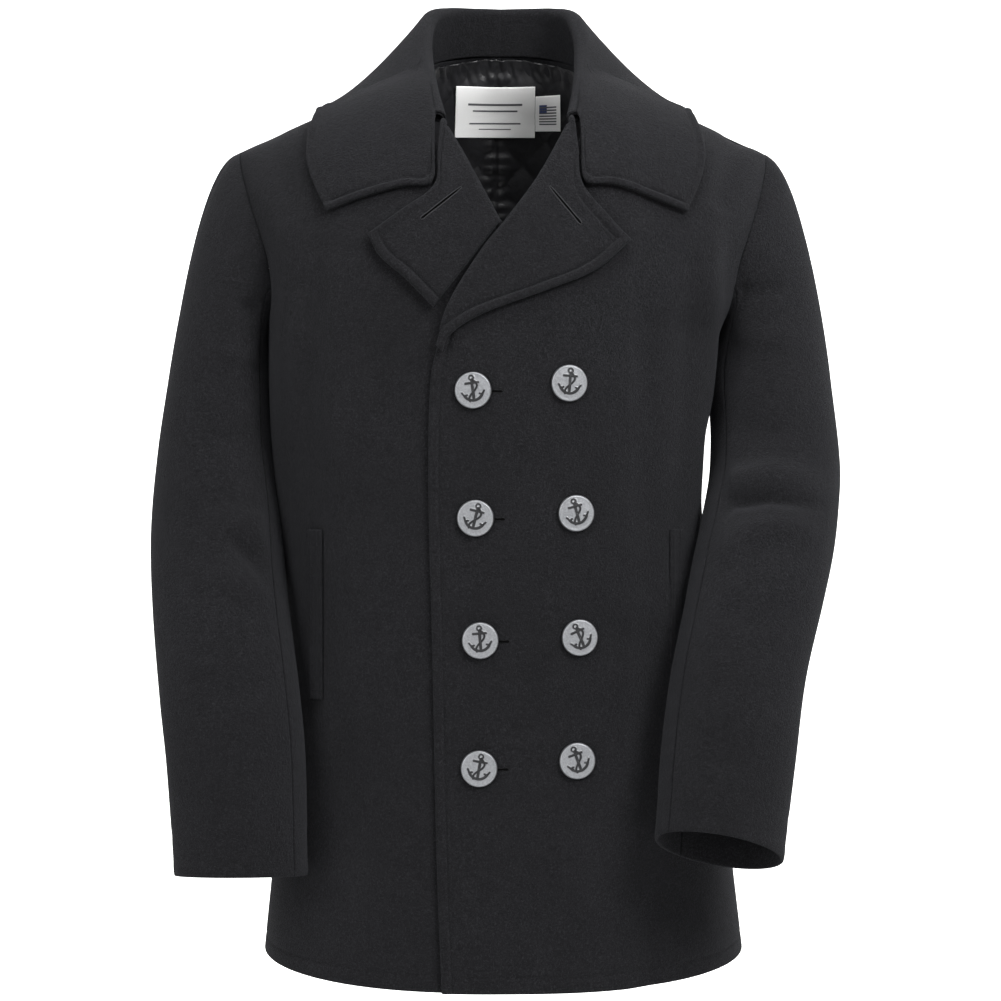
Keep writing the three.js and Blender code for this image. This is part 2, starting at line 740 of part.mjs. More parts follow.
// Labels on the lining, each a strip a little proud of the quilting.
function labelPoint(shape) {
  return (u, v) => {
    const x = shape.x + (u - 0.5) * shape.width;
    const z = shape.z + (v - 0.5) * shape.height;
    return new THREE.Vector3(x, backDepth(x, z), z);
  };
}

function backDepth(x, z) {
  let low = 0;
  let high = top_reach;
  const placeOn = (reach) => {
    const row = bodyRow(reach);
    return bodyPoint(row, Math.asin(Math.abs(x) / row.half_width), 1, 1);
  };
  for (let i = 0; i < 30; i += 1) {
    const middle = (low + high) / 2;
    if (placeOn(middle).z < z) {
      low = middle;
    } else {
      high = middle;
    }
  }
  return placeOn(low).y;
}

const label_seat = lining_outer + lining.quilt + seam_gap;
for (const [name, shape] of [["neck_label", label], ["size_label", small_label]]) {
  add(name, wall(labelPoint(shape), 5, 4, label_seat, label_seat + shape.thickness), woven_label);
}

export default coat;
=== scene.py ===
"""A filled-out wool pea coat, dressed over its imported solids. Lengths in the tables are millimetres."""
import math

import bpy
import numpy as np
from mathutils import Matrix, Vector


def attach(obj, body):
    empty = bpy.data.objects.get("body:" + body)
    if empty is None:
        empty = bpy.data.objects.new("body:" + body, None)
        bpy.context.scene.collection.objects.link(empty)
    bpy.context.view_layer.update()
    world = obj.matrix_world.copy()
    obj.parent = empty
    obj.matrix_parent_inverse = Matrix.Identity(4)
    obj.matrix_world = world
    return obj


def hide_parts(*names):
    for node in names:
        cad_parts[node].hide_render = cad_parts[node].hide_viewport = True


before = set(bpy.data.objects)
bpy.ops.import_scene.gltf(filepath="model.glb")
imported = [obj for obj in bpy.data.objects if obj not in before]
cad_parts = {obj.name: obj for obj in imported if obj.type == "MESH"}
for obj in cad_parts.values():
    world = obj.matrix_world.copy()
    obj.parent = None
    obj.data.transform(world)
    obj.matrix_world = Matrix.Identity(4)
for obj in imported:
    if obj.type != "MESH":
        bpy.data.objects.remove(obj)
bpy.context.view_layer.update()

# Driving dimensions. The front faces -Y, +X is the wearer's left and heights are above the hem.
mm = 0.001
neck_height = 790
cloth = 2.6
seam_gap = 0.3
squareness = 2.5
shoulder_round = 25
neck_half_width = 88
neck_bend = 3.3
overlap_lift = 4.4
overlap_end, overlap_fade = 98, 27
lift_fade = (700, 790)
collar_lift_start = (60, 110)
shoulder_parting, shoulder_start = 0.5, 880
fold_radius = 4.2
lapel_thickness = 4
lapel_seat = 1.8
collar_layer = 2
armpit_reach = 555
edge_stitch = 9
collar_edge_stitch = 7
hem_stitch = 14
fold_strength = 1.8
sleeve_fold_strength = 1.35
seam_calm = 16


def table(names, rows):
    """Named columns from short rows of numbers."""
    return dict(zip(names.split(), np.array(rows, float).T))


body_rows = table(
    "reach height drop half_width right_ease front back middle dip arm_front arm_back nape",
    [
        [0, 11, 0, 213, 0, 150, 146, 0, 13, 0, 0, 0],
        [150, 150, 0, 197, 3, 150, 143, 0, 7, 0, 0, 0],
        [300, 300, 0, 184, 9, 149, 139, 0, 2, 0, 0, 0],
        [430, 430, 0, 175, 26, 149, 137, 0, 0, 0, 0, 0],
        [555, 555, 4, 183, 22, 152, 144, 0, 0, 0, 0, 0],
        [600, 600, 16, 200, 8, 151, 146, 0, 0, 48, 42, 0],
        [645, 645, 30, 214, 2, 147, 146, 1, 0, 63, 57, 0],
        [690, 690, 46, 226, 0, 139, 142, 3, 0, 62, 58, 0],
        [738, 735, 62, 234, 0, 122, 127, 5, 0, 50, 49, 3],
        [786, 775, 78, 238, 0, 97, 101, 8, 0, 35, 35, 12],
        [830, 804, 92, 240, 0, 66, 67, 10, 0, 22, 22, 28],
        [866, 821, 103, 240, 0, 34, 34, 12, 0, 11, 11, 52],
        [897, 829, 109, 240, 0, 0.8, 0.8, 12, 0, 0, 0, 79],
    ],
)
top_reach = body_rows["reach"][-1]
top_nape = body_rows["nape"][-1]
side_trim = seam_gap / 2 / body_rows["half_width"][0]
neck_rise = table("x rise", [[0, 3.6], [28, 8.4], [56, 12.3], [76, 8.4], [88, 2], [96, 0]])
over_edge = table(
    "reach x",
    [
        [0, -56], [110, -60], [300, -64], [430, -67], [515, -65], [545, -59], [580, -48], [622, -21],
        [650, 0], [683, 23], [706, 42], [738, 60], [769, 70], [808, 79], [858, 87], [897, 91],
    ],
)
under_edge = table(
    "reach x",
    [
        [0, -86], [300, -94], [515, -94], [550, -76], [600, -36], [650, 4], [683, 25], [706, 41],
        [738, 60], [769, 70], [808, 79], [858, 87], [897, 91],
    ],
)
left_rings = table(
    "along height out fore half_width half_depth lean tilt",
    [
        [0, 522, 239, 10, 52, 66, 2, 0],
        [0.2, 441, 239, 43, 56, 60, 12, 0],
        [0.32, 397, 230, 77, 58, 57, 19, 0],
        [0.42, 362, 221, 100, 59, 55, 23, 0],
        [0.52, 326, 211, 121, 58, 52, 25, 0],
        [0.68, 263, 194, 147, 56, 48, 24, 2],
        [0.84, 196, 183, 168, 55, 45, 24, 6],
        [1, 124, 174, 185, 52, 43, 26, 10],
    ],
)
right_rings = table(
    "along height out fore half_width half_depth lean tilt",
    [
        [0, 522, 254, 6, 43, 66, 0, 0],
        [0.16, 455, 257, 16, 49, 62, 6, 0],
        [0.33, 385, 254, 38, 56, 58, 11, 0],
        [0.48, 321, 248, 66, 58, 54, 15, 0],
        [0.67, 240, 237, 100, 59, 49, 13, 0],
        [0.8, 187, 231, 114, 58, 46, 9, 0],
        [1, 95, 226, 127, 55, 43, 7, 0],
    ],
)
front_seam_angle = 146
back_seam_angle = 235
cap_share = 0.3
start_gap, armpit_gap = 0.4, 1.2
cap_forward, cap_fall = 0.35, 0.36
cap_leave = (26, 96)
cap_arrive = (60, 190)

# Half of the collar, round from the middle of the back to the lapel: seam, crease and outer edge.
collar_rows = table(
    "round sx sy sz cx cy cz ex ey ez",
    [
        [0, 0, 92, 822, 0, 92, 864, 0, 130, 772],
        [0.14, 28, 88, 821, 26, 88, 864, 44, 129, 770],
        [0.28, 56, 75, 815, 48, 74, 862, 92, 114, 764],
        [0.43, 78, 45, 802, 63, 50, 855, 136, 76, 762],
        [0.57, 86, 10, 792, 68, 20, 836, 155, 20, 764],
        [0.72, 81, -25, 781, 67, -14, 808, 165, -36, 749],
        [0.86, 72, -66, 762, 62, -58, 776, 169, -88, 704],
        [1, 62, -94, 739, 55, -100, 743, 150, -121, 657],
    ],
)
collar_end = table(
    "across x z",
    [
        [0, 55.8, 737], [0.17, 58.8, 706.7], [0.34, 62, 678.4],
        [0.55, 86, 676], [0.78, 118, 668], [1, 150, 657],
    ],
)
stand_share, fold_share, collar_fold = 0.28, 0.22, 5.5
leaf_seat, leaf_front_limit = 6.4, 8

over_lapel = {
    "side": 1,
    "roll": table(
        "along x z",
        [[0, -58, 543], [0.2, -48, 578], [0.42, -21, 622], [0.58, 0, 648], [0.78, 27, 685], [1, 55, 736]],
    ),
    "top": table(
        "across x z",
        [[0, 55, 736], [0.25, 58, 706], [0.5, 61, 677], [0.75, 81, 652], [1, 101, 631]],
    ),
    "outer": table(
        "along x z",
        [[0, -54, 538], [0.12, -48, 552], [0.3, -22, 569], [0.55, 32, 589], [0.8, 72, 606], [1, 101, 631]],
    ),
    "lift": overlap_lift,
}
under_lapel = {
    "side": -1,
    "roll": table("along x z", [[0, 7, 646], [0.35, 27, 684], [0.65, 41, 711], [1, 55, 736]]),
    "top": table(
        "across x z",
        [[0, 55, 736], [0.25, 58, 706], [0.5, 61, 677], [0.75, 89, 656], [1, 116, 637]],
    ),
    "outer": table("along x z", [[0, 62, 575], [0.5, 86, 600], [0.85, 107, 619], [1, 116, 637]]),
    "lift": 0,
}

# Buttons in pairs from the top: height, the closure's middle, spread, and how one sits higher.
button_rows = [(509, 10.5, 80, 3), (401, 14.5, 84, 2), (297.5, 18, 83, 1), (192, 16.5, 82, 3)]
button_radius = 15.5
button_thickness = 4.2
button_gap = 0.6
button_relief, anchor_size = 0.75, 1.27
button_spokes = 108
button_turns = {"right": (8, -14, 5, -10), "left": (-4, 16, 24, 20)}

pocket = {"left_x": 143, "right_x": 161, "low": 242, "high": 388, "width": 11, "thickness": 1.8}
pocket_seat, mouth_seat, mouth_width = 3.6, 0.4, 1.2
lining = {
    "low": 640.5, "high": 893, "low_width": 118, "high_width": 78, "inset": 3.6, "thickness": 1,
    "diamond": 44,
}
quilt_height, label_lift, print_lift = 1.2, 0.9, 0.1
label = {"x": -5, "z": 775, "width": 78, "height": 45, "thickness": 0.6}
small_label = {"x": 47, "z": 774, "width": 25, "height": 31, "thickness": 0.6}


def curve(places, values):
    """A smooth curve through a column of values, read at any place along the first column."""
    last = len(places) - 1
    before = np.maximum(np.arange(last + 1) - 1, 0)
    after = np.minimum(np.arange(last + 1) + 1, last)
    slopes = (values[after] - values[before]) / (places[after] - places[before])

    def at(place):
        place = np.clip(place, places[0], places[last])
        k = np.clip(np.searchsorted(places, place, side="left") - 1, 0, last - 1)
        step = places[k + 1] - places[k]
        t = (place - places[k]) / step
        low = values[k] * (2 * t**3 - 3 * t**2 + 1) + slopes[k] * step * (t**3 - 2 * t**2 + t)
        return low + values[k + 1] * (3 * t**2 - 2 * t**3) + slopes[k + 1] * step * (t**3 - t**2)

    return at


def curves(columns):
    """One curve for each column after the first, which says where each row lies."""
    names = list(columns)
    return {name: curve(columns[names[0]], columns[name]) for name in names[1:]}


def smooth(value, low, high):
    t = np.clip((value - low) / (high - low), 0, 1)
    return t * t * (3 - 2 * t)


def mix(a, b, t):
    return a + (b - a) * t


def join(x, y, z):
    return np.stack(np.broadcast_arrays(x, y, z), axis=-1)


def unit(vectors):
    return vectors / np.maximum(np.linalg.norm(vectors, axis=-1, keepdims=True), 1e-9)


body_curves = curves(body_rows)
rise_curve = curves(neck_rise)["rise"]


def body_row(reach):
    row = {name: at(reach) for name, at in body_curves.items()}
    row["reach"] = reach
    return row


def half_width(row, side):
    return row["half_width"] + np.where(np.asarray(side) < 0, row["right_ease"], 0)


def body_point(row, angle, facing, side):
    """A place on the body, angle round from the middle, with X outwards on the side asked for."""
    width = np.sin(angle)
    depth = np.maximum(1 - np.abs(width) ** squareness, 0) ** (1 / squareness)
    across = half_width(row, np.where(width < 0, -side, side))
    x = across * width
    share = np.maximum(1 - (np.abs(x) / neck_half_width) ** neck_bend, 0)
    behind = facing > 0
    nape = row["nape"] * share if behind else 0
    rise = row["nape"] / top_nape * rise_curve(np.abs(x)) if behind else 0
    dip = 0 if behind else row["dip"] * depth**2
    y = row["middle"] + facing * (row["back" if behind else "front"] * depth + nape)
    z = row["height"] - row["drop"] * np.hypot(x, shoulder_round) / across
    return join(x, y, z + rise - dip)


def armhole_angle(row, facing):
    depth, lift = ("back", "arm_back") if facing > 0 else ("front", "arm_front")
    share = np.clip(row[lift] / row[depth], 0, 1)
    return np.arcsin((1 - share**squareness) ** (1 / squareness))


def over_lift(x):
    return overlap_lift * (1 - smooth(x, overlap_end, overlap_end + overlap_fade))


def front_surface(edge, side, lift):
    """A front, u across from its free edge to the side seam and armhole, v up the cloth."""
    edge_curve = curves(edge)["x"]

    def point(u, v):
        row = body_row(v * top_reach)
        x = edge_curve(row["reach"])
        start = np.arcsin(x / half_width(row, np.where(x < 0, -side, side)))
        end = armhole_angle(row, -1) - side_trim
        place = body_point(row, mix(start, end, u), -1, side)
        place[..., 1] -= lift(place[..., 0]) * (1 - smooth(row["reach"], *lift_fade))
        place[..., 1] -= shoulder_parting * smooth(row["reach"], shoulder_start, top_reach)
        return place

    return point


def back_surface(side):
    """A back, u across from the armhole and side seam to the middle seam."""

    def point(u, v):
        row = body_row(v * top_reach)
        start = seam_gap / 2 / row["half_width"]
        end = armhole_angle(row, 1) - side_trim
        place = body_point(row, mix(end, start, u), 1, side)
        place[..., 1] += shoulder_parting * smooth(row["reach"], shoulder_start, top_reach)
        return place

    return point


def depth_at(x, z, facing):
    """The depth Y of the front or back at a place, found by halving. A positive x is the wearer's left."""
    side = np.where(x < 0, -1, 1)
    low = np.zeros(np.broadcast(x, z).shape)
    high = np.full_like(low, top_reach)
    for _ in range(26):
        middle = (low + high) / 2
        row = body_row(middle)
        angle = np.arcsin(np.clip(np.abs(x) / half_width(row, side), 0, 1))
        below = body_point(row, angle, facing, side)[..., 2] < z
        low = np.where(below, middle, low)
        high = np.where(below, high, middle)
    row = body_row(low)
    angle = np.arcsin(np.clip(np.abs(x) / half_width(row, side), 0, 1))
    return body_point(row, angle, facing, side)[..., 1]


def front_normal(x, z):
    reach = 2.0
    dx = (depth_at(x + reach, z, -1) - depth_at(x - reach, z, -1)) / (2 * reach)
    dz = (depth_at(x, z + reach, -1) - depth_at(x, z - reach, -1)) / (2 * reach)
    return unit(join(dx, -np.ones_like(dx), dz))


def on_front(x, z, lift):
    """A place on the fronts, moved out along their normal."""
    place = join(x, depth_at(x, z, -1), z)
    return place + front_normal(x, z) * np.asarray(lift)[..., None]


def armhole_point(degrees, side):
    ahead = degrees <= 180
    share = np.where(ahead, degrees / 180, (360 - degrees) / 180)
    row = body_row(mix(top_reach, armpit_reach, share))
    front = body_point(row, armhole_angle(row, -1), -1, side)
    back = body_point(row, armhole_angle(row, 1), 1, side)
    return np.where(ahead[..., None], front, back)


def ring_point(ring, along, degrees):
    value = {name: at(along) for name, at in ring.items()}
    lean = np.radians(value["lean"])
    angle = np.radians(degrees)
    forward = value["half_depth"] * np.sin(angle)
    return join(
        value["out"] + value["half_width"] * np.cos(angle),
        -value["fore"] - forward * np.cos(lean),
        value["height"] + forward * np.sin(lean) - value["tilt"] * np.cos(angle),
    )


def sleeve_surface(rings, side, first, last):
    """A sleeve panel, u round the arm between two seams, v down from the armhole to the cuff."""
    ring = curves(rings)
    trim = math.degrees(seam_gap / 2 / rings["half_width"][0])

    def point(u, v):
        turn = np.mod(mix(first + trim, last - trim, u), 360) + 0 * v
        v = v + 0 * u
        low = ring_point(ring, (v - cap_share) / (1 - cap_share), turn)
        t = np.clip(v / cap_share, 0, 1)[..., None]
        upper = (1 + np.cos(np.radians(turn))) / 2
        front = np.sin(np.radians(turn))
        out = unit(join(1 + 0 * turn, -cap_forward * front, -cap_fall))
        start = armhole_point(turn, side) + out * mix(armpit_gap, start_gap, upper)[..., None]
        end = ring_point(ring, 0 * v, turn)
        arrive = unit(ring_point(ring, 0.02 + 0 * v, turn) - end) * mix(*cap_arrive, upper)[..., None]
        leave = out * mix(*cap_leave, upper)[..., None]
        cap = start * (2 * t**3 - 3 * t**2 + 1) + leave * (t**3 - 2 * t**2 + t)
        cap = cap + end * (3 * t**2 - 2 * t**3) + arrive * (t**3 - t**2)
        return np.where((v >= cap_share)[..., None], low, cap)

    return point


def lapel_surface(shape):
    """A lapel, u out from the roll line to its outer edge, v up from its foot to the gorge seam."""
    roll, top, outer = curves(shape["roll"]), curves(shape["top"]), curves(shape["outer"])

    def corner(name, row, axis):
        return shape[name][axis][row]

    def point(u, v):
        place = []
        for axis in "xz":
            sides = mix(roll[axis](v), outer[axis](v), u)
            ends = mix(mix(corner("roll", 0, axis), corner("outer", 0, axis), u), top[axis](u), v)
            first = mix(corner("roll", 0, axis), corner("outer", 0, axis), u)
            last = mix(corner("top", 0, axis), corner("top", -1, axis), u)
            place.append(sides + ends - mix(first, last, v))
        x, z = place
        width = np.hypot(outer["x"](v) - roll["x"](v), outer["z"](v) - roll["z"](v))
        turned = np.clip(u * width / fold_radius, 0, 1)
        base = over_lift(x) if shape["lift"] else 0
        lift = base + lapel_seat + fold_radius * np.sqrt(1 - (1 - turned) ** 2)
        laid = on_front(x * shape["side"], z, lift)
        laid[..., 0] *= shape["side"]
        return laid

    return point


collar_curves = curves(collar_rows)
collar_end_curves = curves(collar_end)


def collar_line(kind, place):
    return join(*[collar_curves[kind + axis](place) for axis in "xyz"])


def collar_end_point(share, side):
    x = collar_end_curves["x"](share)
    z = collar_end_curves["z"](share)
    lift = (over_lift(x) if side > 0 else 0) + lapel_seat + fold_radius
    place = on_front(x * side, z, lift + 0 * x)
    place[..., 0] *= side
    return place


def clear_of_front(place, side, strength):
    """Moves a place of the collar's leaf out to where it lies clear on the front."""
    x, y, z = place[..., 0], place[..., 1], place[..., 2]
    height, drop, width = [body_rows[name][-1] for name in ("height", "drop", "half_width")]
    seam_height = height - drop * np.abs(x) / width
    on = (y <= leaf_front_limit) & (z <= seam_height)
    normal = front_normal(x * side, z)
    lift = over_lift(x) * smooth(-y, *collar_lift_start) if side > 0 else 0
    distance = (depth_at(x * side, z, -1) - y) * -normal[..., 1]
    short = np.maximum(leaf_seat + lift - distance, 0) * strength * on
    normal[..., 0] *= side
    return place + normal * short[..., None]


def collar_half(side, place, v):
    """Half of the collar, up the stand, over the fold and down the leaf."""
    seam = collar_line("s", place)
    crease_line = collar_line("c", place)
    along = collar_line("c", np.minimum(place + 0.02, 1)) - collar_line("c", np.maximum(place - 0.02, 0))
    up = unit(crease_line - seam)
    out = unit(np.cross(up, along))
    last = np.ones_like(place)
    end = collar_end_point(last, side)
    moved = (end - collar_line("e", last)) * smooth(place, 0.75, 1)[..., None]
    edge = collar_line("e", place) + moved
    fall = edge - crease_line
    turn = np.arctan2((fall * out).sum(-1), (fall * up).sum(-1))
    foot = crease_line - up * collar_fold - out * collar_fold

    def arc(angle):
        risen = (collar_fold * np.sin(angle))[..., None]
        gone = (collar_fold * (1 - np.cos(angle)))[..., None]
        return foot + up * risen + out * gone

    stand = mix(seam, foot, np.clip(v / stand_share, 0, 1)[..., None])
    fold = arc(turn * np.clip((v - stand_share) / fold_share, 0, 1))
    share = np.clip((v - stand_share - fold_share) / (1 - stand_share - fold_share), 0, 1)
    start = arc(turn)
    leaf = mix(start, edge, share[..., None])
    offset = (start - collar_end_point(0 * share, side)) * ((1 - share) ** 5)[..., None]
    wanted = collar_end_point(share, side) + offset
    leaf = leaf + (wanted - mix(start, end, share[..., None])) * smooth(place, 0.5, 1)[..., None]
    leaf = clear_of_front(leaf, side, smooth(share, -0.02, 0.06))
    half = np.where((v < stand_share)[..., None], stand, fold)
    half = np.where((v < stand_share + fold_share)[..., None], half, leaf)
    half[..., 0] *= side
    return half


def collar_surface(u, v):
    """The collar, u round from the wearer's right end to the left, v from neck seam to outer edge."""
    u, v = np.broadcast_arrays(u, v)
    place = np.abs(2 * u - 1)
    return np.where((u < 0.5)[..., None], collar_half(-1, place, v), collar_half(1, place, v))


def lining_surface(u, v):
    row = body_row(mix(lining["low"], lining["high"], v) + 0 * u)
    x = mix(-1, 1, u) * mix(lining["low_width"], lining["high_width"], v)
    place = body_point(row, np.arcsin(np.abs(x) / row["half_width"]), 1, 1)
    place[..., 0] *= np.where(x < 0, -1, 1)
    return place


def crease(points, width, height):
    """A soft ridge or, with a negative height, a trough along points given as X and Z."""
    points = np.array(points, float)
    steps = np.diff(points, axis=0)
    lengths = np.hypot(*steps.T)
    starts = np.r_[0, np.cumsum(lengths)[:-1]]
    whole = lengths.sum()

    def raised(x, z):
        nearest = np.full(x.shape, 1e9)
        along = np.zeros(x.shape)
        for (px, pz), (dx, dz), length, start in zip(points, steps, lengths, starts):
            t = np.clip(((x - px) * dx + (z - pz) * dz) / length**2, 0, 1)
            off = np.hypot(x - px - t * dx, z - pz - t * dz)
            closer = off < nearest
            nearest = np.where(closer, off, nearest)
            along = np.where(closer, start + t * length, along)
        taper = np.sin(np.pi * np.clip(along / whole, 0.02, 0.98)) ** 0.6
        return height * taper * np.exp(-((nearest / width) ** 2))

    return raised


# Creases seen from the front, X and height, mirrored X on the wearer's right. Then width and height.
over_front_creases = [
    crease([(176, 655), (168, 560), (164, 470), (166, 380)], 13, 6),
    crease([(126, 640), (136, 520), (130, 390)], 20, 2.2),
    crease([(108, 620), (114, 500), (110, 380)], 12, -1.6),
    crease([(150, 360), (154, 240), (160, 120)], 22, 2.4),
    crease([(60, 330), (90, 300), (130, 285)], 14, -1.2),
    crease([(40, 150), (60, 90), (66, 30)], 24, 1.6),
    crease([(120, 120), (112, 60), (110, 10)], 20, -2.0),
    crease([(212, 745), (196, 700), (180, 660)], 12, -2.4),
]
under_front_creases = [
    crease([(190, 660), (184, 560), (186, 450)], 14, 3.4),
    crease([(160, 620), (168, 520), (164, 420)], 11, -2.2),
    crease([(140, 640), (134, 520), (140, 400)], 20, 2.0),
    crease([(206, 735), (190, 690), (176, 650)], 12, -2.2),
    crease([(110, 560), (100, 470), (104, 380)], 18, -1.3),
    crease([(70, 210), (96, 150), (104, 60)], 26, 1.8),
    crease([(140, 190), (146, 120), (150, 40)], 24, -1.8),
]
back_creases = [
    crease([(150, 640), (140, 540), (120, 440)], 18, 3.0),
    crease([(176, 600), (166, 520), (150, 450)], 11, -2.4),
    crease([(60, 600), (66, 480), (58, 350)], 26, 2.2),
    crease([(100, 660), (96, 540), (90, 430)], 16, -1.8),
    crease([(30, 470), (80, 455), (140, 462)], 12, -1.6),
    crease([(110, 300), (118, 180), (124, 60)], 28, 2.4),
    crease([(60, 240), (56, 140), (60, 30)], 22, -1.8),
]
left_sleeve_creases = [
    crease([(160, 383), (190, 411), (222, 416), (266, 408)], 7, -7),
    crease([(168, 402), (196, 430), (228, 436), (262, 430)], 10, 4.0),
    crease([(170, 360), (196, 384), (232, 392), (264, 382)], 11, 4.0),
    crease([(178, 600), (206, 592), (246, 600)], 10, -3.0),
    crease([(180, 570), (214, 556), (254, 552)], 12, 2.4),
    crease([(176, 330), (206, 316), (240, 330)], 12, -2.2),
    crease([(150, 250), (176, 236), (214, 246)], 14, 1.8),
    crease([(150, 215), (180, 200), (206, 206)], 10, -1.4),
    crease([(196, 480), (226, 470), (262, 478)], 14, -1.8),
]
right_sleeve_creases = [
    crease([(196, 574), (214, 575), (234, 586)], 9, -4.5),
    crease([(200, 548), (226, 538), (254, 536)], 12, 2.6),
    crease([(204, 346), (222, 366), (238, 382)], 8, -4.5),
    crease([(200, 368), (220, 392), (240, 400)], 10, 3.0),
    crease([(204, 322), (226, 342), (258, 350)], 10, 2.6),
    crease([(222, 470), (246, 462), (276, 470)], 13, -2.0),
    crease([(206, 260), (232, 250), (262, 262)], 14, -1.8),
    crease([(200, 180), (226, 172), (256, 184)], 14, 1.6),
]


def swell(start, full, middle, reach, height):
    """A broad swelling of the sides, from nothing at X start to its full height, about one height."""

    def raised(x, z):
        return height * smooth(x, start, full) * np.exp(-(((z - middle) / reach) ** 4))

    return raised


# Where the body and a sleeve lie close, and where they stand apart: X start, X full, height, reach, swelling.
body_ease = {
    "left": [swell(160, 180, 548, 56, 3.4), swell(150, 178, 438, 46, -4.5)],
    "right": [swell(174, 198, 480, 98, 3.6)],
}
sleeve_ease = {"left": [swell(206, 190, 548, 56, 3.4)], "right": [swell(230, 210, 480, 98, 3.6)]}


def places(lengths, near, far, step):
    """Places from 0 to 1 across rows of given lengths: set distances at the ends, even steps between."""
    lengths = np.atleast_1d(np.asarray(lengths, float))[:, None]
    near, far = np.array(near, float)[None], np.array(far, float)[None, ::-1]
    room = np.minimum(1, 0.45 * lengths / max(near.max(), far.max()))
    count = max(int(lengths.max() / step), 3)
    first, last = near * room, lengths - far * room
    between = mix(first[:, -1:], last[:, :1], np.linspace(0, 1, count + 1)[None, 1:-1])
    return np.concatenate([first, between, last], axis=1) / lengths


def measured(grid):
    """Distances in a grid of places from each of its four edges."""
    across = np.linalg.norm(np.diff(grid, axis=1), axis=2)
    along = np.linalg.norm(np.diff(grid, axis=0), axis=2)
    left = np.pad(np.cumsum(across, 1), ((0, 0), (1, 0)))
    low = np.pad(np.cumsum(along, 0), ((1, 0), (0, 0)))
    return left, left[:, -1:] - left, low, low[-1:] - low


def normals(grid):
    return unit(np.cross(np.gradient(grid, axis=1), np.gradient(grid, axis=0)))


# Distances from an edge at which a shell has lines of points, for seams, hems, welts and the lining.
seam_lines = (0, 0.15, 0.6, 1.3, 2.6, 5)
hem_lines = (0, 0.15, 0.6, 1.3, 4, 8, 11, 12.5, 14, 15.5, 17, 21)
roll_lines = (0, 0.2, 0.8, 2, 3.2, 4.5, 6, 8)
welt_lines = (0, 0.15, 0.6, 1.3, 2, 3)
lining_lines = (0, 1, 3)
label_lines = (0, 0.2, 1)


def stitch_lines(at):
    """Distances from an edge that follow its roundness, its puffed welt and its row of stitches."""
    beside = (-2, -1.1, -0.5, 0, 0.5, 1.1, 2.2, 5)
    return (0, 0.15, 0.6, 1.3, 2.8, at * 0.55) + tuple(at + distance for distance in beside)


def welt(distance, at):
    """An edge puffed between its rim and a sunk row of stitches."""
    puff = 1.1 * np.sin(np.pi * np.clip(distance / at, 0, 1)) ** 0.7
    return puff - 1.4 * np.exp(-(((distance - at) / 1.5) ** 2))


class Shell:
    """A thin closed wall on a surface: two skins with rounded rims, as one mesh."""

    def __init__(self, name, surface, near, far, low, high, step, side=1, thickness=cloth, centre=0.0,
                 folds=None, calm=(), ease=None, relief=None):
        v = places(self.length(surface, 0.5, None), low, high, step)[0]
        u = places(self.length(surface, None, v), near, far, step)
        v = np.broadcast_to(v[:, None], u.shape)
        grid = surface(u, v)
        grid[..., 2] -= neck_height
        pushed = np.zeros(grid.shape[:2])
        if folds is not None:
            edges = measured(grid)
            fade = np.minimum.reduce([smooth(edges[k], 0, seam_calm) for k in calm])
            pushed += folds(grid) * fade
        if ease is not None:
            pushed += ease(grid)
        grid = grid + normals(grid) * pushed[..., None]
        self.name = name
        self.side = side
        self.distances = measured(grid)
        self.facing = normals(grid)
        radius = thickness / 2
        nearest = np.minimum.reduce(self.distances)
        rim = np.sqrt(1 - (1 - np.clip(nearest / radius, 0, 1)) ** 2) * radius
        raised = relief(grid, *self.distances) if relief is not None else 0
        self.outer = grid + self.facing * (centre + rim + raised)[..., None]
        inner = grid + self.facing * (centre - rim)[..., None]
        self.piece = self.build([self.turned(self.outer), self.turned(inner)])

    @staticmethod
    def length(surface, u, v):
        """The length of the surface down its middle, or across it at each v."""
        fine = np.linspace(0, 1, 60)
        if v is None:
            line = surface(np.full(60, u), fine)
        else:
            line = surface(np.broadcast_to(fine, (len(v), 60)), np.broadcast_to(v[:, None], (len(v), 60)))
        return np.linalg.norm(np.diff(line, axis=-2), axis=-1).sum(-1)

    def turned(self, points):
        points = points.copy()
        points[..., 0] *= self.side
        return points

    def build(self, skins):
        rows, columns = skins[0].shape[:2]
        size = rows * columns
        ids = np.arange(size).reshape(rows, columns)
        a, b, c, d = ids[:-1, :-1], ids[:-1, 1:], ids[1:, 1:], ids[1:, :-1]
        outer = np.stack([a, b, c, d], -1).reshape(-1, 4)
        inner = np.stack([a, d, c, b], -1).reshape(-1, 4) + size
        rims = []
        for line, back in ((ids[0], True), (ids[-1], False), (ids[:, 0], False), (ids[:, -1], True)):
            first, second = (line[1:], line[:-1]) if back else (line[:-1], line[1:])
            rims.append(np.stack([first, second, second + size, first + size], -1))
        faces = np.concatenate([outer, inner, *rims])
        if self.side < 0:
            faces = faces[:, ::-1]
        return mesh_piece(self.name, np.concatenate([skin.reshape(-1, 3) for skin in skins]), faces)

    def line(self, index, at):
        """The outer skin along a line at a distance from one edge: places, normals and edge distances."""
        distance = self.distances[index]
        across = 1 if index < 2 else 0
        nearest = np.argmin(np.abs(distance - at), axis=across)
        every = np.arange(distance.shape[1 - across])
        crossing = (every, nearest) if across else (nearest, every)
        edges = [one[crossing] for one in self.distances]
        return self.turned(self.outer[crossing]), self.turned(self.facing[crossing]), edges


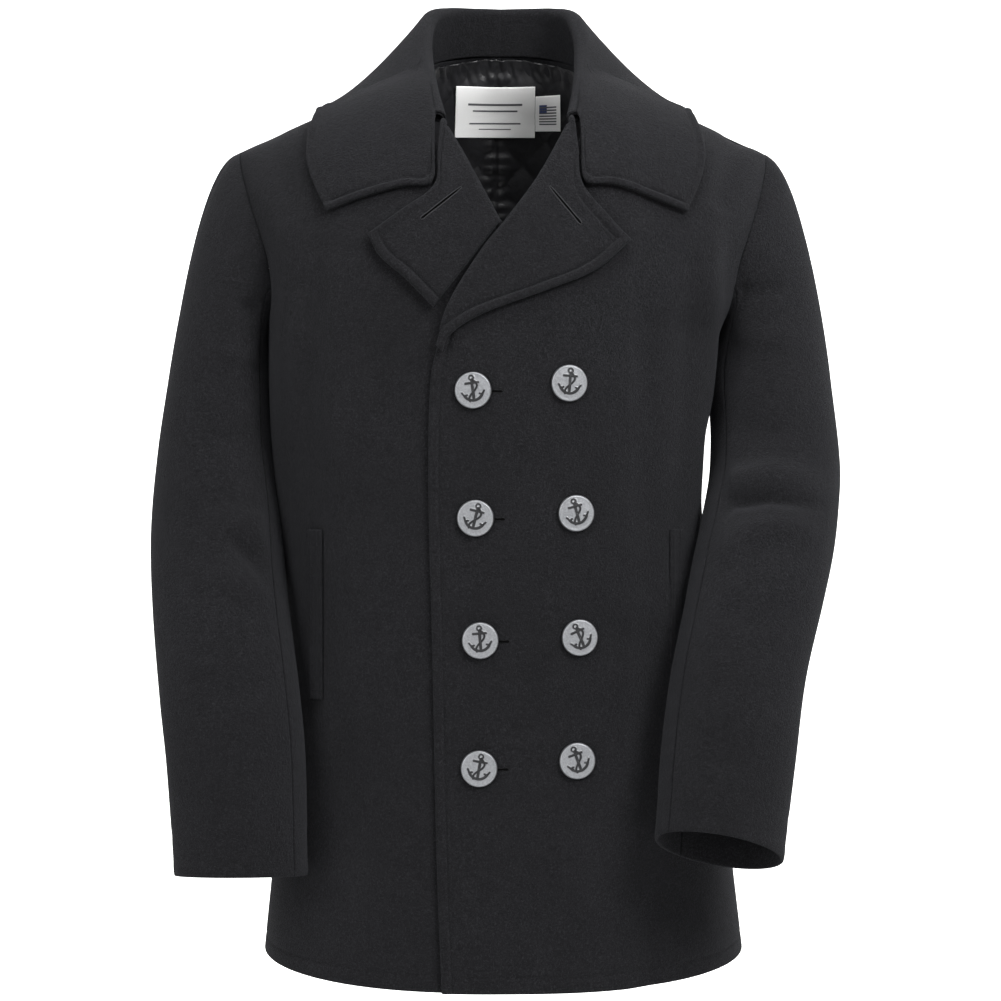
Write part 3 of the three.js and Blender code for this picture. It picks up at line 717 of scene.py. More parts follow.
def mesh_piece(name, points, faces):
    """A smooth mesh object from places in millimetres."""
    mesh = bpy.data.meshes.new(name)
    points = np.ascontiguousarray(points * mm, dtype=np.float32)
    faces = np.ascontiguousarray(faces, dtype=np.int32)
    sides = faces.shape[1]
    mesh.vertices.add(len(points))
    mesh.vertices.foreach_set("co", points.ravel())
    mesh.loops.add(faces.size)
    mesh.loops.foreach_set("vertex_index", faces.ravel())
    mesh.polygons.add(len(faces))
    mesh.polygons.foreach_set("loop_start", np.arange(len(faces), dtype=np.int32) * sides)
    mesh.polygons.foreach_set("use_smooth", np.ones(len(faces), dtype=bool))
    mesh.update(calc_edges=True)
    mesh.validate()
    piece = bpy.data.objects.new(name, mesh)
    bpy.context.scene.collection.objects.link(piece)
    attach(piece, "root")
    return piece


def stitches(name, lines, length=2.5, gap=1.1, radius=0.26):
    """Thread stitches laid end to end along lines of places and normals, as one mesh."""
    around = np.linspace(0, 2 * np.pi, 6, endpoint=False)
    shape = [(-1, 0.25, -0.5), (-0.6, 0.9, 0.1), (0, 1, 0.25), (0.6, 0.9, 0.1), (1, 0.25, -0.5)]
    points, faces = [], []
    for places_on, facing in lines:
        steps = np.linalg.norm(np.diff(places_on, axis=0), axis=1)
        run = np.r_[0, np.cumsum(steps)]
        middles = np.arange(gap + length / 2, run[-1] - length / 2, length + gap)
        at = np.stack([np.interp(middles, run, places_on[:, k]) for k in range(3)], -1)
        ahead = np.stack([np.interp(middles + 0.5, run, places_on[:, k]) for k in range(3)], -1)
        up = unit(np.stack([np.interp(middles, run, facing[:, k]) for k in range(3)], -1))
        tangent = unit(ahead - at)
        across = unit(np.cross(tangent, up))
        rings = []
        for share, wide, raised in shape:
            middle = at + tangent * (share * length / 2) + up * (raised * radius)
            cosine, sine = np.cos(around)[None, :, None], np.sin(around)[None, :, None]
            ring = cosine * across[:, None] + sine * up[:, None]
            rings.append(middle[:, None] + ring * (radius * wide))
        start = sum(len(part) for part in points)
        grid = np.stack(rings, 1)
        points.append(grid.reshape(-1, 3))
        ids = start + np.arange(grid[..., 0].size).reshape(grid.shape[:3])
        nxt = np.roll(ids, -1, axis=2)
        quads = np.stack([ids[:, :-1], nxt[:, :-1], nxt[:, 1:], ids[:, 1:]], -1).reshape(-1, 4)
        faces.append(quads)
    return mesh_piece(name, np.concatenate(points), np.concatenate(faces)[:, ::-1])


def folded(creases, strength=fold_strength):
    """The creases' height at places seen from the front or back, in the part's own frame."""

    def raised(grid):
        x, z = grid[..., 0], grid[..., 2] + neck_height
        return strength * sum(one(x, z) for one in creases)

    return raised


def hem_line(from_hem):
    """The sunk line of a hem's stitches."""
    return -0.8 * np.exp(-(((from_hem - hem_stitch) / 1.3) ** 2))


def front_relief(grid, from_edge, from_seam, from_hem, from_top):
    return welt(from_edge, edge_stitch) + hem_line(from_hem) * (from_edge > edge_stitch)


def back_relief(grid, from_side, from_middle, from_hem, from_top):
    return hem_line(from_hem)


def cuff_relief(grid, from_back, from_front, from_armhole, from_cuff):
    """A soft roll where the cuff is turned in, and a shallow sunk line 34 mm up from the cuff edge."""
    roll = 0.5 * np.exp(-(((from_cuff - 6) / 5) ** 2))
    return roll - 0.35 * np.exp(-(((from_cuff - 34) / 5) ** 2))


def lapel_relief(grid, from_roll, from_edge, from_foot, from_top):
    return welt(np.minimum(from_edge, from_top), edge_stitch)


def collar_relief(grid, from_right, from_left, from_seam, from_edge):
    ends = np.minimum(from_right, from_left)
    leaf = smooth(from_seam, 60, 80)
    return welt(np.minimum(from_edge, np.where(from_seam > 60, ends, 99)), collar_edge_stitch) * leaf


def quilted(grid, from_right, from_left, from_low, from_top):
    """Diamond quilting, with the gathers under the collar and along the middle seam."""
    x, z = grid[..., 0], grid[..., 2] + neck_height
    one = np.abs(np.sin(np.pi * (x + z) / lining["diamond"]))
    other = np.abs(np.sin(np.pi * (x - z) / lining["diamond"]))
    pillow = 2.4 * np.sqrt(one * other) ** 0.8
    gather = np.exp(-(((from_top - 9) / 13) ** 2))
    ruck = gather * (0.9 * np.sin(x * 0.42 + 1.4 * np.sin(x * 0.11)) + 0.5 * np.sin(x * 0.71 + z * 0.3))
    beside = np.exp(-((np.abs(x + 4) - 5) / 7) ** 2)
    middle = -1.6 * np.exp(-(((x + 4) / 1.6) ** 2)) + 0.8 * beside * np.sin(z * 0.55 + 0.8 * np.sin(z * 0.13))
    return pillow * (1 - gather) + ruck + middle * (1 - gather * 0.6) - 0.6


fine, coarse = 3.6, 4.6

shells = {}
for name, side, edge, lift, creases in (
    ("left", 1, over_edge, over_lift, over_front_creases),
    ("right", -1, under_edge, lambda x: 0, under_front_creases),
):
    shells[f"front_{name}"] = Shell(
        f"front_{name}_cloth", front_surface(edge, side, lift), stitch_lines(edge_stitch), seam_lines,
        hem_lines, seam_lines, fine, side=side, folds=folded(creases), calm=(1, 3),
        ease=folded(body_ease[name], 1), relief=front_relief,
    )
for name, side in (("left", 1), ("right", -1)):
    shells[f"back_{name}"] = Shell(
        f"back_{name}_cloth", back_surface(side), seam_lines, seam_lines, hem_lines, seam_lines, coarse,
        side=side, folds=folded(back_creases), calm=(0, 3), ease=folded(body_ease[name], 1),
        relief=back_relief,
    )
for name, side, rings, creases in (
    ("left", 1, left_rings, left_sleeve_creases),
    ("right", -1, right_rings, right_sleeve_creases),
):
    upper = sleeve_surface(rings, side, back_seam_angle - 360, front_seam_angle)
    under = sleeve_surface(rings, side, front_seam_angle, back_seam_angle)
    shells[f"upper_sleeve_{name}"] = Shell(
        f"upper_sleeve_{name}_cloth", upper, seam_lines, seam_lines, seam_lines, seam_lines, fine, side=side,
        folds=folded(creases, sleeve_fold_strength), calm=(0, 1, 2), ease=folded(sleeve_ease[name], 1),
        relief=cuff_relief,
    )
    shells[f"under_sleeve_{name}"] = Shell(
        f"under_sleeve_{name}_cloth", under, seam_lines, seam_lines, seam_lines, seam_lines, coarse,
        side=side, ease=folded(sleeve_ease[name], 1), relief=cuff_relief,
    )
for name, shape in (("left", over_lapel), ("right", under_lapel)):
    shells[f"lapel_{name}"] = Shell(
        f"lapel_{name}_cloth", lapel_surface(shape), roll_lines, stitch_lines(edge_stitch), seam_lines,
        stitch_lines(edge_stitch), 2.6, side=shape["side"], thickness=lapel_thickness, relief=lapel_relief,
    )
half_layer = (seam_gap + collar_layer) / 2
shells["top_collar"] = Shell(
    "top_collar_cloth", collar_surface, stitch_lines(collar_edge_stitch), stitch_lines(collar_edge_stitch),
    seam_lines, stitch_lines(collar_edge_stitch), 3, thickness=collar_layer, centre=half_layer,
    relief=collar_relief,
)
shells["under_collar"] = Shell(
    "under_collar_cloth", collar_surface, seam_lines, seam_lines, seam_lines, seam_lines, 5,
    thickness=collar_layer, centre=-half_layer,
)
shells["back_lining"] = Shell(
    "back_lining_quilt", lining_surface, lining_lines, lining_lines, lining_lines, lining_lines, 2,
    thickness=lining["thickness"], centre=lining["inset"] + lining["thickness"] / 2, relief=quilted,
)


def pocket_surface(side):
    """A pocket's welt, lying on the front."""
    middle = pocket["left_x"] if side > 0 else pocket["right_x"]

    def point(u, v):
        x = middle + (u - 0.5) * pocket["width"]
        z = mix(pocket["low"], pocket["high"], v) + 0 * x
        place = on_front(side * x, z, pocket_seat + 0 * x)
        place[..., 0] *= side
        return place

    return point


def welt_relief(grid, from_left, from_right, from_low, from_top):
    nearest = np.minimum(from_left, from_right)
    puff = np.sin(np.pi * np.clip(nearest / (pocket["width"] / 2), 0, 1))
    return puff - 1.2 * np.exp(-(((nearest - 2) / 0.8) ** 2))


def label_surface(shape):
    def point(u, v):
        x = shape["x"] + (u - 0.5) * shape["width"] + 0 * v
        z = shape["z"] + (v - 0.5) * shape["height"] + 0 * u
        return join(x, depth_at(x, z, 1), z)

    return point


for name, side in (("left", 1), ("right", -1)):
    shells[f"pocket_welt_{name}"] = Shell(
        f"pocket_welt_{name}_cloth", pocket_surface(side), welt_lines, welt_lines, seam_lines, seam_lines, 2,
        side=side, thickness=pocket["thickness"], relief=welt_relief,
    )


def pocket_mouth_shadow(name, side):
    """A flat dark strip along the outer edge of a pocket's welt: painted shadow in its opening."""
    middle = pocket["left_x"] if side > 0 else pocket["right_x"]
    start = middle + pocket["width"] / 2 - seam_gap
    x, z = np.meshgrid([start, start + mouth_width], np.linspace(pocket["low"] + 2, pocket["high"] - 2, 60))
    grid = on_front(side * x, z, cloth / 2 + mouth_seat + 0 * x)
    grid[..., 2] -= neck_height
    ids = np.arange(grid[..., 0].size).reshape(x.shape)
    faces = np.stack([ids[:-1, 0], ids[:-1, 1], ids[1:, 1], ids[1:, 0]], -1)
    return mesh_piece(name, grid.reshape(-1, 3), faces)


mouth_shadows = [pocket_mouth_shadow("pocket_mouth_left", 1), pocket_mouth_shadow("pocket_mouth_right", -1)]
label_seat = lining["inset"] + lining["thickness"] + quilt_height + seam_gap
for node, shape in (("neck_label", label), ("size_label", small_label)):
    shells[node] = Shell(
        f"{node}_cloth", label_surface(shape), label_lines, label_lines, label_lines, label_lines, 3,
        thickness=shape["thickness"], centre=label_seat + label_lift + shape["thickness"] / 2,
    )


def capsule_distance(x, y, points):
    """The distance from places to a path of straight steps."""
    nearest = np.full(x.shape, 1e9)
    for (ax, ay), (bx, by) in zip(points[:-1], points[1:]):
        dx, dy = bx - ax, by - ay
        t = np.clip(((x - ax) * dx + (y - ay) * dy) / (dx * dx + dy * dy), 0, 1)
        nearest = np.minimum(nearest, np.hypot(x - ax - t * dx, y - ay - t * dy))
    return nearest


def anchor_paths():
    """A generic anchor with a rope round it: each path and its half width."""
    arms = [(6.4 * math.sin(a), -0.6 - 6.0 * math.cos(a)) for a in np.linspace(-1.15, 1.15, 15)]
    ring = [(1.5 * math.cos(a), 8.4 + 1.5 * math.sin(a)) for a in np.linspace(0, 2 * math.pi, 13)]
    rope = [(3.1 * math.sin(5.2 * t), 7.6 - 14.5 * t) for t in np.linspace(0.02, 1, 26)]
    paths = [
        ([(0, 6.8), (0, -6.6)], 0.85),
        ([(-4.2, 4.9), (4.2, 4.9)], 0.75),
        (arms, 0.85),
        ([(-7.3, -1.0), (-5.9, -3.1), (-4.2, -2.6)], 0.6),
        ([(7.3, -1.0), (5.9, -3.1), (4.2, -2.6)], 0.6),
        (ring, 0.5),
        (rope, 0.6),
    ]
    larger = []
    for path, wide in paths:
        larger.append(([(anchor_size * x, anchor_size * y) for x, y in path], anchor_size * wide))
    return larger


def button_piece(name, x, height, turn):
    """A domed button with a low rim and a raised anchor; the anchor is coloured dark, with painted shade
    round its outline, at the rim and on the back.
    """
    rings = np.r_[np.linspace(0.02, 0.78, 40), np.linspace(0.8, 1, 16)] * button_radius
    turns = np.linspace(0, 2 * np.pi, button_spokes, endpoint=False)
    r, a = np.meshgrid(rings, turns, indexing="ij")
    px, py = r * np.cos(a), r * np.sin(a)
    nearest = np.minimum.reduce([capsule_distance(px, py, path) - wide for path, wide in anchor_paths()])
    raised = smooth(-nearest, -0.35, 0.3)
    rope_twist = 1 + 0.06 * np.sin(px * 5 + py * 5)
    share = r / button_radius
    rim = 0.3 * np.exp(-(((share - 0.9) / 0.055) ** 2))
    edge = np.clip((share - 0.93) / 0.07, 0, 1)
    dome = button_thickness - 1.2 + (1 - share**2) - 1.9 * (1 - np.sqrt(1 - edge**2))
    front = dome + rim + button_relief * raised * rope_twist
    back = np.array([(0.995, 1.5), (0.94, 0.5), (0.8, 0.05), (0.3, 0)])
    wide, deep = back[:, :1] * button_radius, np.repeat(back[:, 1:], button_spokes, 1)
    back_points = np.stack([wide * np.cos(turns), wide * np.sin(turns), deep], -1)
    grid = np.concatenate([np.stack([px, py, front], -1), back_points])
    size = grid.shape[0] * button_spokes
    ids = np.arange(size).reshape(-1, button_spokes)
    after = np.roll(ids, -1, axis=1)
    quads = np.stack([ids[:-1], ids[1:], after[1:], after[:-1]], -1).reshape(-1, 4)
    middles = np.array([[0, 0, grid[0, 0, 2]], [0, 0, 0]])
    caps = [(size, ids[0, k], after[0, k]) for k in range(button_spokes)]
    caps += [(size + 1, after[-1, k], ids[-1, k]) for k in range(button_spokes)]
    normal = front_normal(np.array([x]), np.array([height]))[0]
    seat = on_front(np.array([x]), np.array([height]), np.array([cloth / 2 + button_gap]))[0]
    seat[1] -= over_lift(x)
    seat[2] -= neck_height
    up = unit(np.array([0, 0, 1.0]) - normal * normal[2])
    right = np.cross(up, normal)
    cosine, sine = math.cos(math.radians(turn)), math.sin(math.radians(turn))
    right, up = right * cosine + up * sine, up * cosine - right * sine
    points = np.concatenate([grid.reshape(-1, 3), middles])
    placed = seat + points[:, :1] * right + points[:, 1:2] * up + points[:, 2:] * normal
    mesh = bpy.data.meshes.new(name)
    faces = [tuple(quad) for quad in quads] + caps
    mesh.from_pydata([tuple(point * mm) for point in placed], [], faces)
    mesh.polygons.foreach_set("use_smooth", np.ones(len(faces), dtype=bool))
    # Vertex colour towards very dark: the anchor's own dark tone, and painted shade along the anchor's
    # outline, at the rim and on the back rings.
    dark = np.zeros(len(points))
    outline = np.exp(-(((nearest + 0.05) / 0.42) ** 2))
    anchor_tone_and_painted_shade = 0.35 * outline + 0.93 * raised + 0.75 * smooth(share, 0.93, 0.99)
    dark[: r.size] = np.clip(anchor_tone_and_painted_shade, 0, 1).ravel()
    dark[r.size : r.size + button_spokes * 3] = 0.6
    colour = mesh.color_attributes.new("anchor_and_painted_shade", "FLOAT_COLOR", "POINT")
    colour.data.foreach_set("color", np.repeat(dark, 4).astype(np.float32))
    piece = bpy.data.objects.new(name, mesh)
    bpy.context.scene.collection.objects.link(piece)
    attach(piece, "root")
    return piece


def buttonhole(name, middle, length, turn, seat, lift):
    """A worked buttonhole: a slit with a keyhole end, its lips bound with close thread."""
    count = 120
    half = length / 2
    outline = []
    for angle in np.linspace(0, 2 * math.pi, count, endpoint=False):
        width = 0.8 + 1.5 * math.exp(-(((math.cos(angle) + 1) / 0.22) ** 2))
        outline.append((half * math.cos(angle), width * math.sin(angle)))
    outline = np.array(outline)
    cosine, sine = math.cos(math.radians(turn)), math.sin(math.radians(turn))

    def laid(flat, above):
        x = middle[0] + flat[:, 0] * cosine - flat[:, 1] * sine
        z = middle[1] + flat[:, 0] * sine + flat[:, 1] * cosine
        place = on_front(x, z, seat + above + 0 * x)
        place[:, 1] -= lift(x)
        place[:, 2] -= neck_height
        return place

    facing = front_normal(np.array([middle[0]]), np.array([middle[1]]))[0]
    rim = np.concatenate([outline, outline[:1]])
    run = np.r_[0, np.cumsum(np.linalg.norm(np.diff(rim, axis=0), axis=1))]
    at = np.arange(0, run[-1], 0.62)
    inner = np.stack([np.interp(at, run, rim[:, k]) for k in range(2)], -1)
    ahead = np.stack([np.interp(at + 0.2, run, rim[:, k]) for k in range(2)], -1)
    outward = unit(np.stack([(ahead - inner)[:, 1], -(ahead - inner)[:, 0]], -1))
    lines = []
    for start, end in zip(laid(inner, 0.3), laid(inner + outward * 1.1, 0.1)):
        lines.append((np.array([start - (end - start) * 0.05, end]), np.array([facing, facing])))
    thread = stitches(name, lines, length=1.0, gap=0.05, radius=0.28)
    # The slit is a flat dark sheet just above the cloth: painted shadow in the opening.
    slit_points = laid(np.concatenate([outline, [[0, 0]]]), 0.3)
    slit_faces = np.array([[k, (k + 1) % count, count] for k in range(count)])
    return thread, mesh_piece(name + "_slit", slit_points, slit_faces)


def up_to(height):
    """Keeps the stitches below a height above the hem."""
    return lambda points, edges: points[:, 2] < height - neck_height


def past_front_edge(points, edges):
    return edges[0] > edge_stitch


def anywhere(points, edges):
    return np.ones(len(points), bool)


def below_gorge(points, edges):
    return np.arange(len(points)) < len(points) - 9


def outside_collar(points, edges):
    return (edges[0] > edges[1][0] * 0.48) & (edges[1] > edge_stitch)


def on_leaf(points, edges):
    return (edges[2] > 74) & (edges[3] > collar_edge_stitch)


def between_ends(points, edges):
    return np.minimum(edges[0], edges[1]) > collar_edge_stitch


# For each row of stitches: the edge it follows, its distance from it, and the part that is sewn.
hem_row = (2, hem_stitch, anywhere)
lapel_stitching = [(1, edge_stitch, below_gorge), (3, edge_stitch, outside_collar)]
stitching = {
    "front_left": [(0, edge_stitch, up_to(548)), (2, hem_stitch, past_front_edge)],
    "front_right": [(0, edge_stitch, up_to(600)), (2, hem_stitch, past_front_edge)],
    "back_left": [hem_row],
    "back_right": [hem_row],
    "lapel_left": lapel_stitching,
    "lapel_right": lapel_stitching,
    "top_collar": [
        (0, collar_edge_stitch, on_leaf),
        (1, collar_edge_stitch, on_leaf),
        (3, collar_edge_stitch, between_ends),
    ],
}
seam_thread = {}
for node, rows in stitching.items():
    lines = []
    for index, at, chosen in rows:
        points, facing, edges = shells[node].line(index, at)
        sewn = chosen(points, edges)
        lines.append((points[sewn], facing[sewn]))
    seam_thread[node] = stitches(f"{node}_stitching", lines)

buttons = {}
for number, (height, middle, spread, slope) in enumerate(button_rows):
    for name, side in (("right", -1), ("left", 1)):
        node = f"button_{name}_{number + 1}"
        x = middle + side * spread / 2
        buttons[node] = button_piece(node + "_face", x, height + side * slope, button_turns[name][number])

holes = []
for number, (height, middle, spread, slope) in enumerate(button_rows):
    place = (middle - spread / 2 + 12, height - slope - 1)
    holes.append(buttonhole(f"front_buttonhole_{number + 1}", place, 25, 180, cloth / 2 - 0.1, over_lift))
lapel_top = lapel_seat + fold_radius + lapel_thickness / 2
holes.append(buttonhole("lapel_buttonhole_right", (-55, 661), 42, 38, lapel_top, lambda x: 0))
holes.append(buttonhole("lapel_buttonhole_left", (47, 659), 40, 130, lapel_top, over_lift))


def ruled(name, shape, strips):
    """Flat strips printed on a label: each from one corner to another, as shares of the label."""
    surface = label_surface(shape)
    points, faces = [], []
    for low_u, low_v, high_u, high_v in strips:
        u, v = np.meshgrid(np.linspace(low_u, high_u, 9), np.linspace(low_v, high_v, 3))
        grid = surface(u, v)
        grid[..., 2] -= neck_height
        grid = grid + normals(grid) * (label_seat + label_lift + shape["thickness"] + print_lift)
        ids = len(points) * u.size + np.arange(u.size).reshape(u.shape)
        points.append(grid.reshape(-1, 3))
        faces.append(np.stack([ids[:-1, :-1], ids[:-1, 1:], ids[1:, 1:], ids[1:, :-1]], -1).reshape(-1, 4))
    return mesh_piece(name, np.concatenate(points), np.concatenate(faces))


main_strips = [
    (0.16, 0.66, 0.84, 0.70), (0.22, 0.54, 0.78, 0.57), (0.18, 0.28, 0.82, 0.31), (0.3, 0.17, 0.7, 0.19),
]
stripe_count = 7
stripes = [(0.16, 0.2 + 0.08 * k, 0.84, 0.24 + 0.08 * k) for k in range(stripe_count)]
label_rules = ruled("neck_label_rules", label, main_strips)
label_stripes = ruled("size_label_stripes", small_label, stripes)
label_canton = ruled("size_label_canton", small_label, [(0.16, 0.54, 0.46, 0.77)])


class Nodes:
    """A material's node tree, with short calls to add nodes and join them."""

    def __init__(self, name):
        self.material = bpy.data.materials.new(name)
        self.material.use_nodes = True
        self.tree = self.material.node_tree
        self.shader = self.tree.nodes["Principled BSDF"]

    def add(self, kind, inputs=None, **settings):
        node = self.tree.nodes.new(kind)
        for key, value in settings.items():
            setattr(node, key, value)
        for key, value in (inputs or {}).items():
            if isinstance(value, bpy.types.NodeSocket):
                self.tree.links.new(value, node.inputs[key])
            else:
                node.inputs[key].default_value = value
        return node

    def noise(self, place, scale, detail=3.0, roughness=0.6, distortion=0.0):
        settings = {"Vector": place, "Scale": scale, "Detail": detail, "Roughness": roughness,
                    "Distortion": distortion}
        return self.add("ShaderNodeTexNoise", settings).outputs["Fac"]

    def spread(self, value, low, high, to_low=0.0, to_high=1.0):
        settings = {"Value": value, "From Min": low, "From Max": high, "To Min": to_low, "To Max": to_high}
        return self.add("ShaderNodeMapRange", settings).outputs["Result"]

    def blend(self, factor, first, second):
        node = self.add("ShaderNodeMix", data_type="RGBA")
        for socket, value in zip((0, 6, 7), (factor, first, second)):
            if isinstance(value, bpy.types.NodeSocket):
                self.tree.links.new(value, node.inputs[socket])
            else:
                node.inputs[socket].default_value = value
        return node.outputs[2]

    def bump(self, height, strength, distance, below=None):
        settings = {"Height": height, "Strength": strength, "Distance": distance}
        if below is not None:
            settings["Normal"] = below
        return self.add("ShaderNodeBump", settings).outputs["Normal"]

    def set(self, **values):
        for key, value in values.items():
            socket = self.shader.inputs[key.replace("_", " ")]
            if isinstance(value, bpy.types.NodeSocket):
                self.tree.links.new(value, socket)
            else:
                socket.default_value = value


def wool_material(name, dark, light):
    """Dense melton: matt charcoal with paler fibre ends, faint mottling and a fine felted nap."""
    make = Nodes(name)
    place = make.add("ShaderNodeTexCoord").outputs["Object"]
    fibres = make.noise(place, 680, 3, 0.75, 0.6)
    felt = make.noise(place, 260, 4, 0.75, 1.2)
    mottle = make.noise(place, 60, 4, 0.6)
    cloud = make.noise(place, 9, 2, 0.5)
    ground = make.blend(make.spread(mottle, 0.3, 0.7, 0.2, 0.8), dark, light)
    tufted = make.blend(make.spread(felt, 0.4, 0.6), dark, ground)
    pale = [part * 1.9 for part in light[:3]] + [1]
    colour = make.blend(make.spread(fibres, 0.5, 0.68), tufted, pale)
    shade = make.blend(make.spread(cloud, 0.3, 0.7, 0.0, 0.35), colour, dark)
    make.set(Base_Color=shade, Roughness=make.spread(felt, 0.3, 0.7, 0.88, 1.0))
    make.set(Sheen_Weight=0.04, Sheen_Roughness=0.5, Sheen_Tint=(0.85, 0.87, 0.95, 1))
    make.shader.inputs["Specular IOR Level"].default_value = 0.04
    broad = make.bump(felt, 0.7, 0.0028)
    make.set(Normal=make.bump(fibres, 0.7, 0.0015, broad))
    return make.material


def satin_material(name):
    """Black quilted satin with a fine twill and small creases, paler on their ridges and darker in their
    hollows: painted light and shade.
    """
    make = Nodes(name)
    place = make.add("ShaderNodeTexCoord").outputs["Object"]
    creases = make.noise(place, 95, 5, 0.65, 1.5)
    weave = make.noise(place, 2600, 2, 0.5)
    # The colour follows the same crease noise as the bump: painted highlight on the ridges, painted shade in
    # the hollows.
    colour = make.blend(make.spread(creases, 0.35, 0.7), (0.006, 0.006, 0.007, 1), (0.014, 0.014, 0.016, 1))
    make.set(Base_Color=colour, Roughness=make.spread(weave, 0.3, 0.7, 0.32, 0.48))
    make.set(Sheen_Weight=0.12, Sheen_Roughness=0.35)
    make.shader.inputs["Specular IOR Level"].default_value = 0.5
    broad = make.bump(creases, 0.4, 0.0011)
    make.set(Normal=make.bump(weave, 0.15, 0.0002, broad))
    return make.material


def pewter_material(name):
    """Pewter-grey plastic with faint scuffs, turned very dark by the vertex colour: the anchor's own dark
    tone, and painted shade round the anchor, at the rim and on the back.
    """
    make = Nodes(name)
    place = make.add("ShaderNodeTexCoord").outputs["Object"]
    anchor_and_painted_shade = make.add("ShaderNodeVertexColor", layer_name="anchor_and_painted_shade").outputs["Color"]
    scuffs = make.noise(place, 700, 4, 0.7)
    ground = make.blend(make.spread(scuffs, 0.35, 0.7), (0.16, 0.165, 0.175, 1), (0.25, 0.255, 0.265, 1))
    # Very dark where the vertex colour says: the anchor's tone and painted shade.
    colour = make.blend(anchor_and_painted_shade, ground, (0.006, 0.006, 0.007, 1))
    make.set(Base_Color=colour, Roughness=make.spread(scuffs, 0.3, 0.75, 0.32, 0.5), Metallic=0.45)
    make.set(Normal=make.bump(scuffs, 0.18, 0.0003))
    return make.material


def woven_material(name, colour):
    """A woven label: fine crossing threads."""
    make = Nodes(name)
    place = make.add("ShaderNodeTexCoord").outputs["Object"]
    warp = make.add("ShaderNodeTexWave", {"Vector": place, "Scale": 620.0}, bands_direction="X")
    weft = make.add("ShaderNodeTexWave", {"Vector": place, "Scale": 480.0}, bands_direction="Z")
    crossed = {0: warp.outputs["Fac"], 1: weft.outputs["Fac"]}
    threads = make.add("ShaderNodeMath", crossed, operation="MULTIPLY").outputs["Value"]
    shadow = [part * 0.82 for part in colour[:3]] + [1]
    make.set(Base_Color=make.blend(threads, shadow, colour), Roughness=0.6, Sheen_Weight=0.15)
    make.set(Normal=make.bump(threads, 0.3, 0.0002))
    return make.material


def thread_material(name, colour):
    """Twisted sewing thread."""
    make = Nodes(name)
    place = make.add("ShaderNodeTexCoord").outputs["Object"]
    twist = make.noise(place, 2400, 2, 0.5)
    paler = [part * 1.7 for part in colour[:3]] + [1]
    make.set(Base_Color=make.blend(make.spread(twist, 0.35, 0.65), colour, paler), Roughness=0.62)
    make.set(Sheen_Weight=0.03, Normal=make.bump(twist, 0.4, 0.0002))
    make.shader.inputs["Specular IOR Level"].default_value = 0.06
    return make.material


def plain_material(name, colour, rough):
    """A plain matt paint with a trace of unevenness: the pale floor and backdrop, and the flat dark paint of
    painted shadow in buttonhole slits and pocket mouths.
    """
    make = Nodes(name)
    place = make.add("ShaderNodeTexCoord").outputs["Object"]
    cloud = make.noise(place, 3, 2, 0.5)
    near = [part * 0.985 for part in colour[:3]] + [1]
    make.set(Base_Color=make.blend(cloud, near, colour), Roughness=rough)
    make.shader.inputs["Specular IOR Level"].default_value = 0
    return make.material


wool = wool_material("melton_wool", (0.0050, 0.0050, 0.0055, 1), (0.0105, 0.0105, 0.0116, 1))
# A darker copy of the same wool for the under collar: painted shade.
wool_painted_shade = wool_material("melton_wool_under_painted_shade", (0.0042, 0.0042, 0.0046, 1), (0.0088, 0.0088, 0.0097, 1))
satin = satin_material("quilted_satin")
pewter = pewter_material("pewter")
white_label = woven_material("white_label", (0.93, 0.93, 0.92, 1))
ink = woven_material("label_ink", (0.09, 0.09, 0.10, 1))
blue_ink = woven_material("label_blue", (0.03, 0.05, 0.16, 1))
dark_thread = thread_material("dark_thread", (0.0040, 0.0040, 0.0044, 1))
pale_thread = thread_material("pale_thread", (0.024, 0.024, 0.026, 1))
# Flat dark paint for painted shadow inside the buttonhole slits and pocket mouths.
painted_shadow = plain_material("painted_shadow_paint", (0.002, 0.002, 0.002, 1), 1.0)


def dress(piece, material, slot, *replaced):
    """Gives a piece its material and hides the nodes that it stands for. The slot is not used."""
    piece.data.materials.clear()
    piece.data.materials.append(material)
    if replaced:
        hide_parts(*replaced)


# Each node's slot and material where they differ from the wool's.
slots = {"back_lining": "lining", "neck_label": "label", "size_label": "label"}
materials = {
    "back_lining": satin, "neck_label": white_label, "size_label": white_label, "under_collar": wool_painted_shade,
}
for node, shell in shells.items():
    dress(shell.piece, materials.get(node, wool), slots.get(node, "wool"), node)
for thread in seam_thread.values():
    dress(thread, dark_thread, "wool")
for thread, slit in holes:
    dress(thread, pale_thread if "lapel" in thread.name else dark_thread, "wool")
    dress(slit, painted_shadow, "wool")
for node, piece in buttons.items():
    dress(piece, pewter, "button", node)
for mouth in mouth_shadows:
    dress(mouth, painted_shadow, "wool")
dress(label_rules, ink, "label")
dress(label_stripes, ink, "label")
dress(label_canton, blue_ink, "label")

sewn_on = {node: [thread] for node, thread in seam_thread.items()}
sewn_on["neck_label"] = [label_rules]
sewn_on["size_label"] = [label_stripes, label_canton]

# The floor, the backdrop, soft light all round and the photograph's camera.
target = Vector((-0.0025, 0, -0.380))
camera_distance, camera_azimuth, camera_elevation = 2.2, math.radians(-1.5), math.radians(1.4)
sensor, image_width, millimetres_a_pixel = 36, 1001, 0.9
floor_height, stage_half_width = -1.02, 6.0
backdrop_start, backdrop_wall, backdrop_bend, backdrop_top = 0.6, 3.6, 1.2, 5.0


def stage_piece(name, points, faces, glow):
    """A part of the stage in plain pale paint, the backdrop lit up so that it shows white."""
    mesh = bpy.data.meshes.new(name)
    mesh.from_pydata(points, [], faces)
    mesh.polygons.foreach_set("use_smooth", np.ones(len(faces), dtype=bool))
    piece = bpy.data.objects.new(name, mesh)
    bpy.context.scene.collection.objects.link(piece)
    material = plain_material(name + "_paint", (0.86, 0.86, 0.86, 1), 0.9)
    shader = material.node_tree.nodes["Principled BSDF"]
    shader.inputs["Emission Color"].default_value = (1, 1, 1, 1)
    shader.inputs["Emission Strength"].default_value = glow
    mesh.materials.append(material)


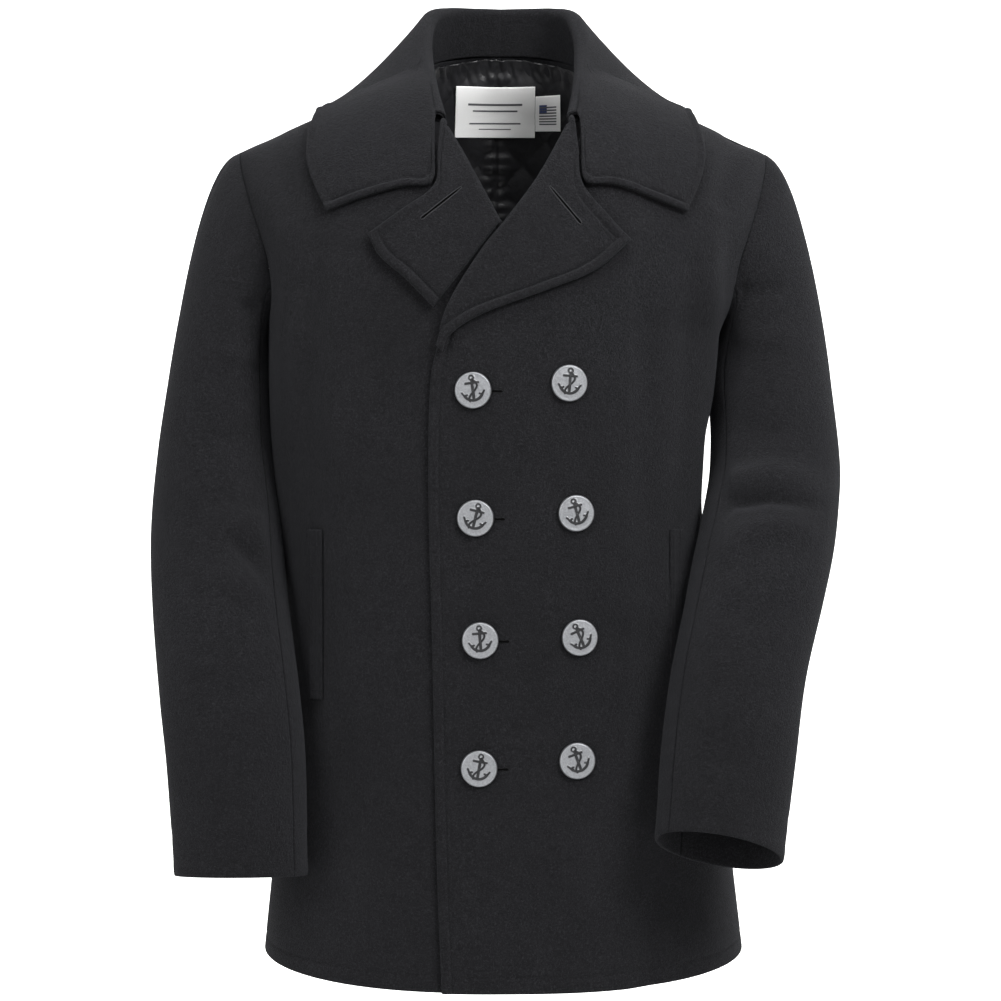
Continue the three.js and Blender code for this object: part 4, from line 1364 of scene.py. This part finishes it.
def sheet_across(profile):
    """Places and faces of a plain sheet across the stage, from a profile of Y and Z."""
    points = [(x, y, z) for y, z in profile for x in (-stage_half_width, stage_half_width)]
    return points, [(2 * k, 2 * k + 1, 2 * k + 3, 2 * k + 2) for k in range(len(profile) - 1)]


stage_piece("floor", *sheet_across([(-stage_half_width, floor_height), (backdrop_start, floor_height)]), 0)
profile = [(backdrop_start, floor_height)]
for turn in np.linspace(0, math.pi / 2, 12):
    y = backdrop_wall - backdrop_bend * (1 - math.sin(turn))
    profile.append((y, floor_height + backdrop_bend * (1 - math.cos(turn))))
profile.append((backdrop_wall, backdrop_top))
stage_piece("backdrop", *sheet_across(profile), 1.0)


def soft_light(name, place, power, size):
    light = bpy.data.lights.new(name, "AREA")
    light.energy = power
    light.shape = "DISK"
    light.size = size
    lamp = bpy.data.objects.new(name, light)
    bpy.context.scene.collection.objects.link(lamp)
    lamp.location = place
    lamp.rotation_euler = (target - Vector(place)).to_track_quat("-Z", "Y").to_euler()


soft_light("key", (0.95, -1.35, 0.75), 52, 0.9)
soft_light("fill", (-1.6, -1.7, 0.3), 36, 1.4)
soft_light("top", (0.0, -0.9, 1.6), 36, 1.0)
soft_light("back", (0.6, 1.9, 1.4), 20, 1.6)

world = bpy.data.worlds.new("studio")
bpy.context.scene.world = world
world.use_nodes = True
background = world.node_tree.nodes["Background"]
background.inputs["Color"].default_value = (1, 1, 1, 1)
background.inputs["Strength"].default_value = 0.3
bpy.context.scene.view_settings.view_transform = "Standard"

camera_data = bpy.data.cameras.new("camera")
camera_data.sensor_width = sensor
camera_data.lens = sensor * camera_distance * 1000 / (image_width * millimetres_a_pixel)
camera = bpy.data.objects.new("camera", camera_data)
bpy.context.scene.collection.objects.link(camera)
away = Vector((
    math.sin(camera_azimuth) * math.cos(camera_elevation),
    -math.cos(camera_azimuth) * math.cos(camera_elevation),
    math.sin(camera_elevation),
))
camera.location = target + away * camera_distance
camera.rotation_euler = (-away).to_track_quat("-Z", "Y").to_euler()
bpy.context.scene.camera = camera
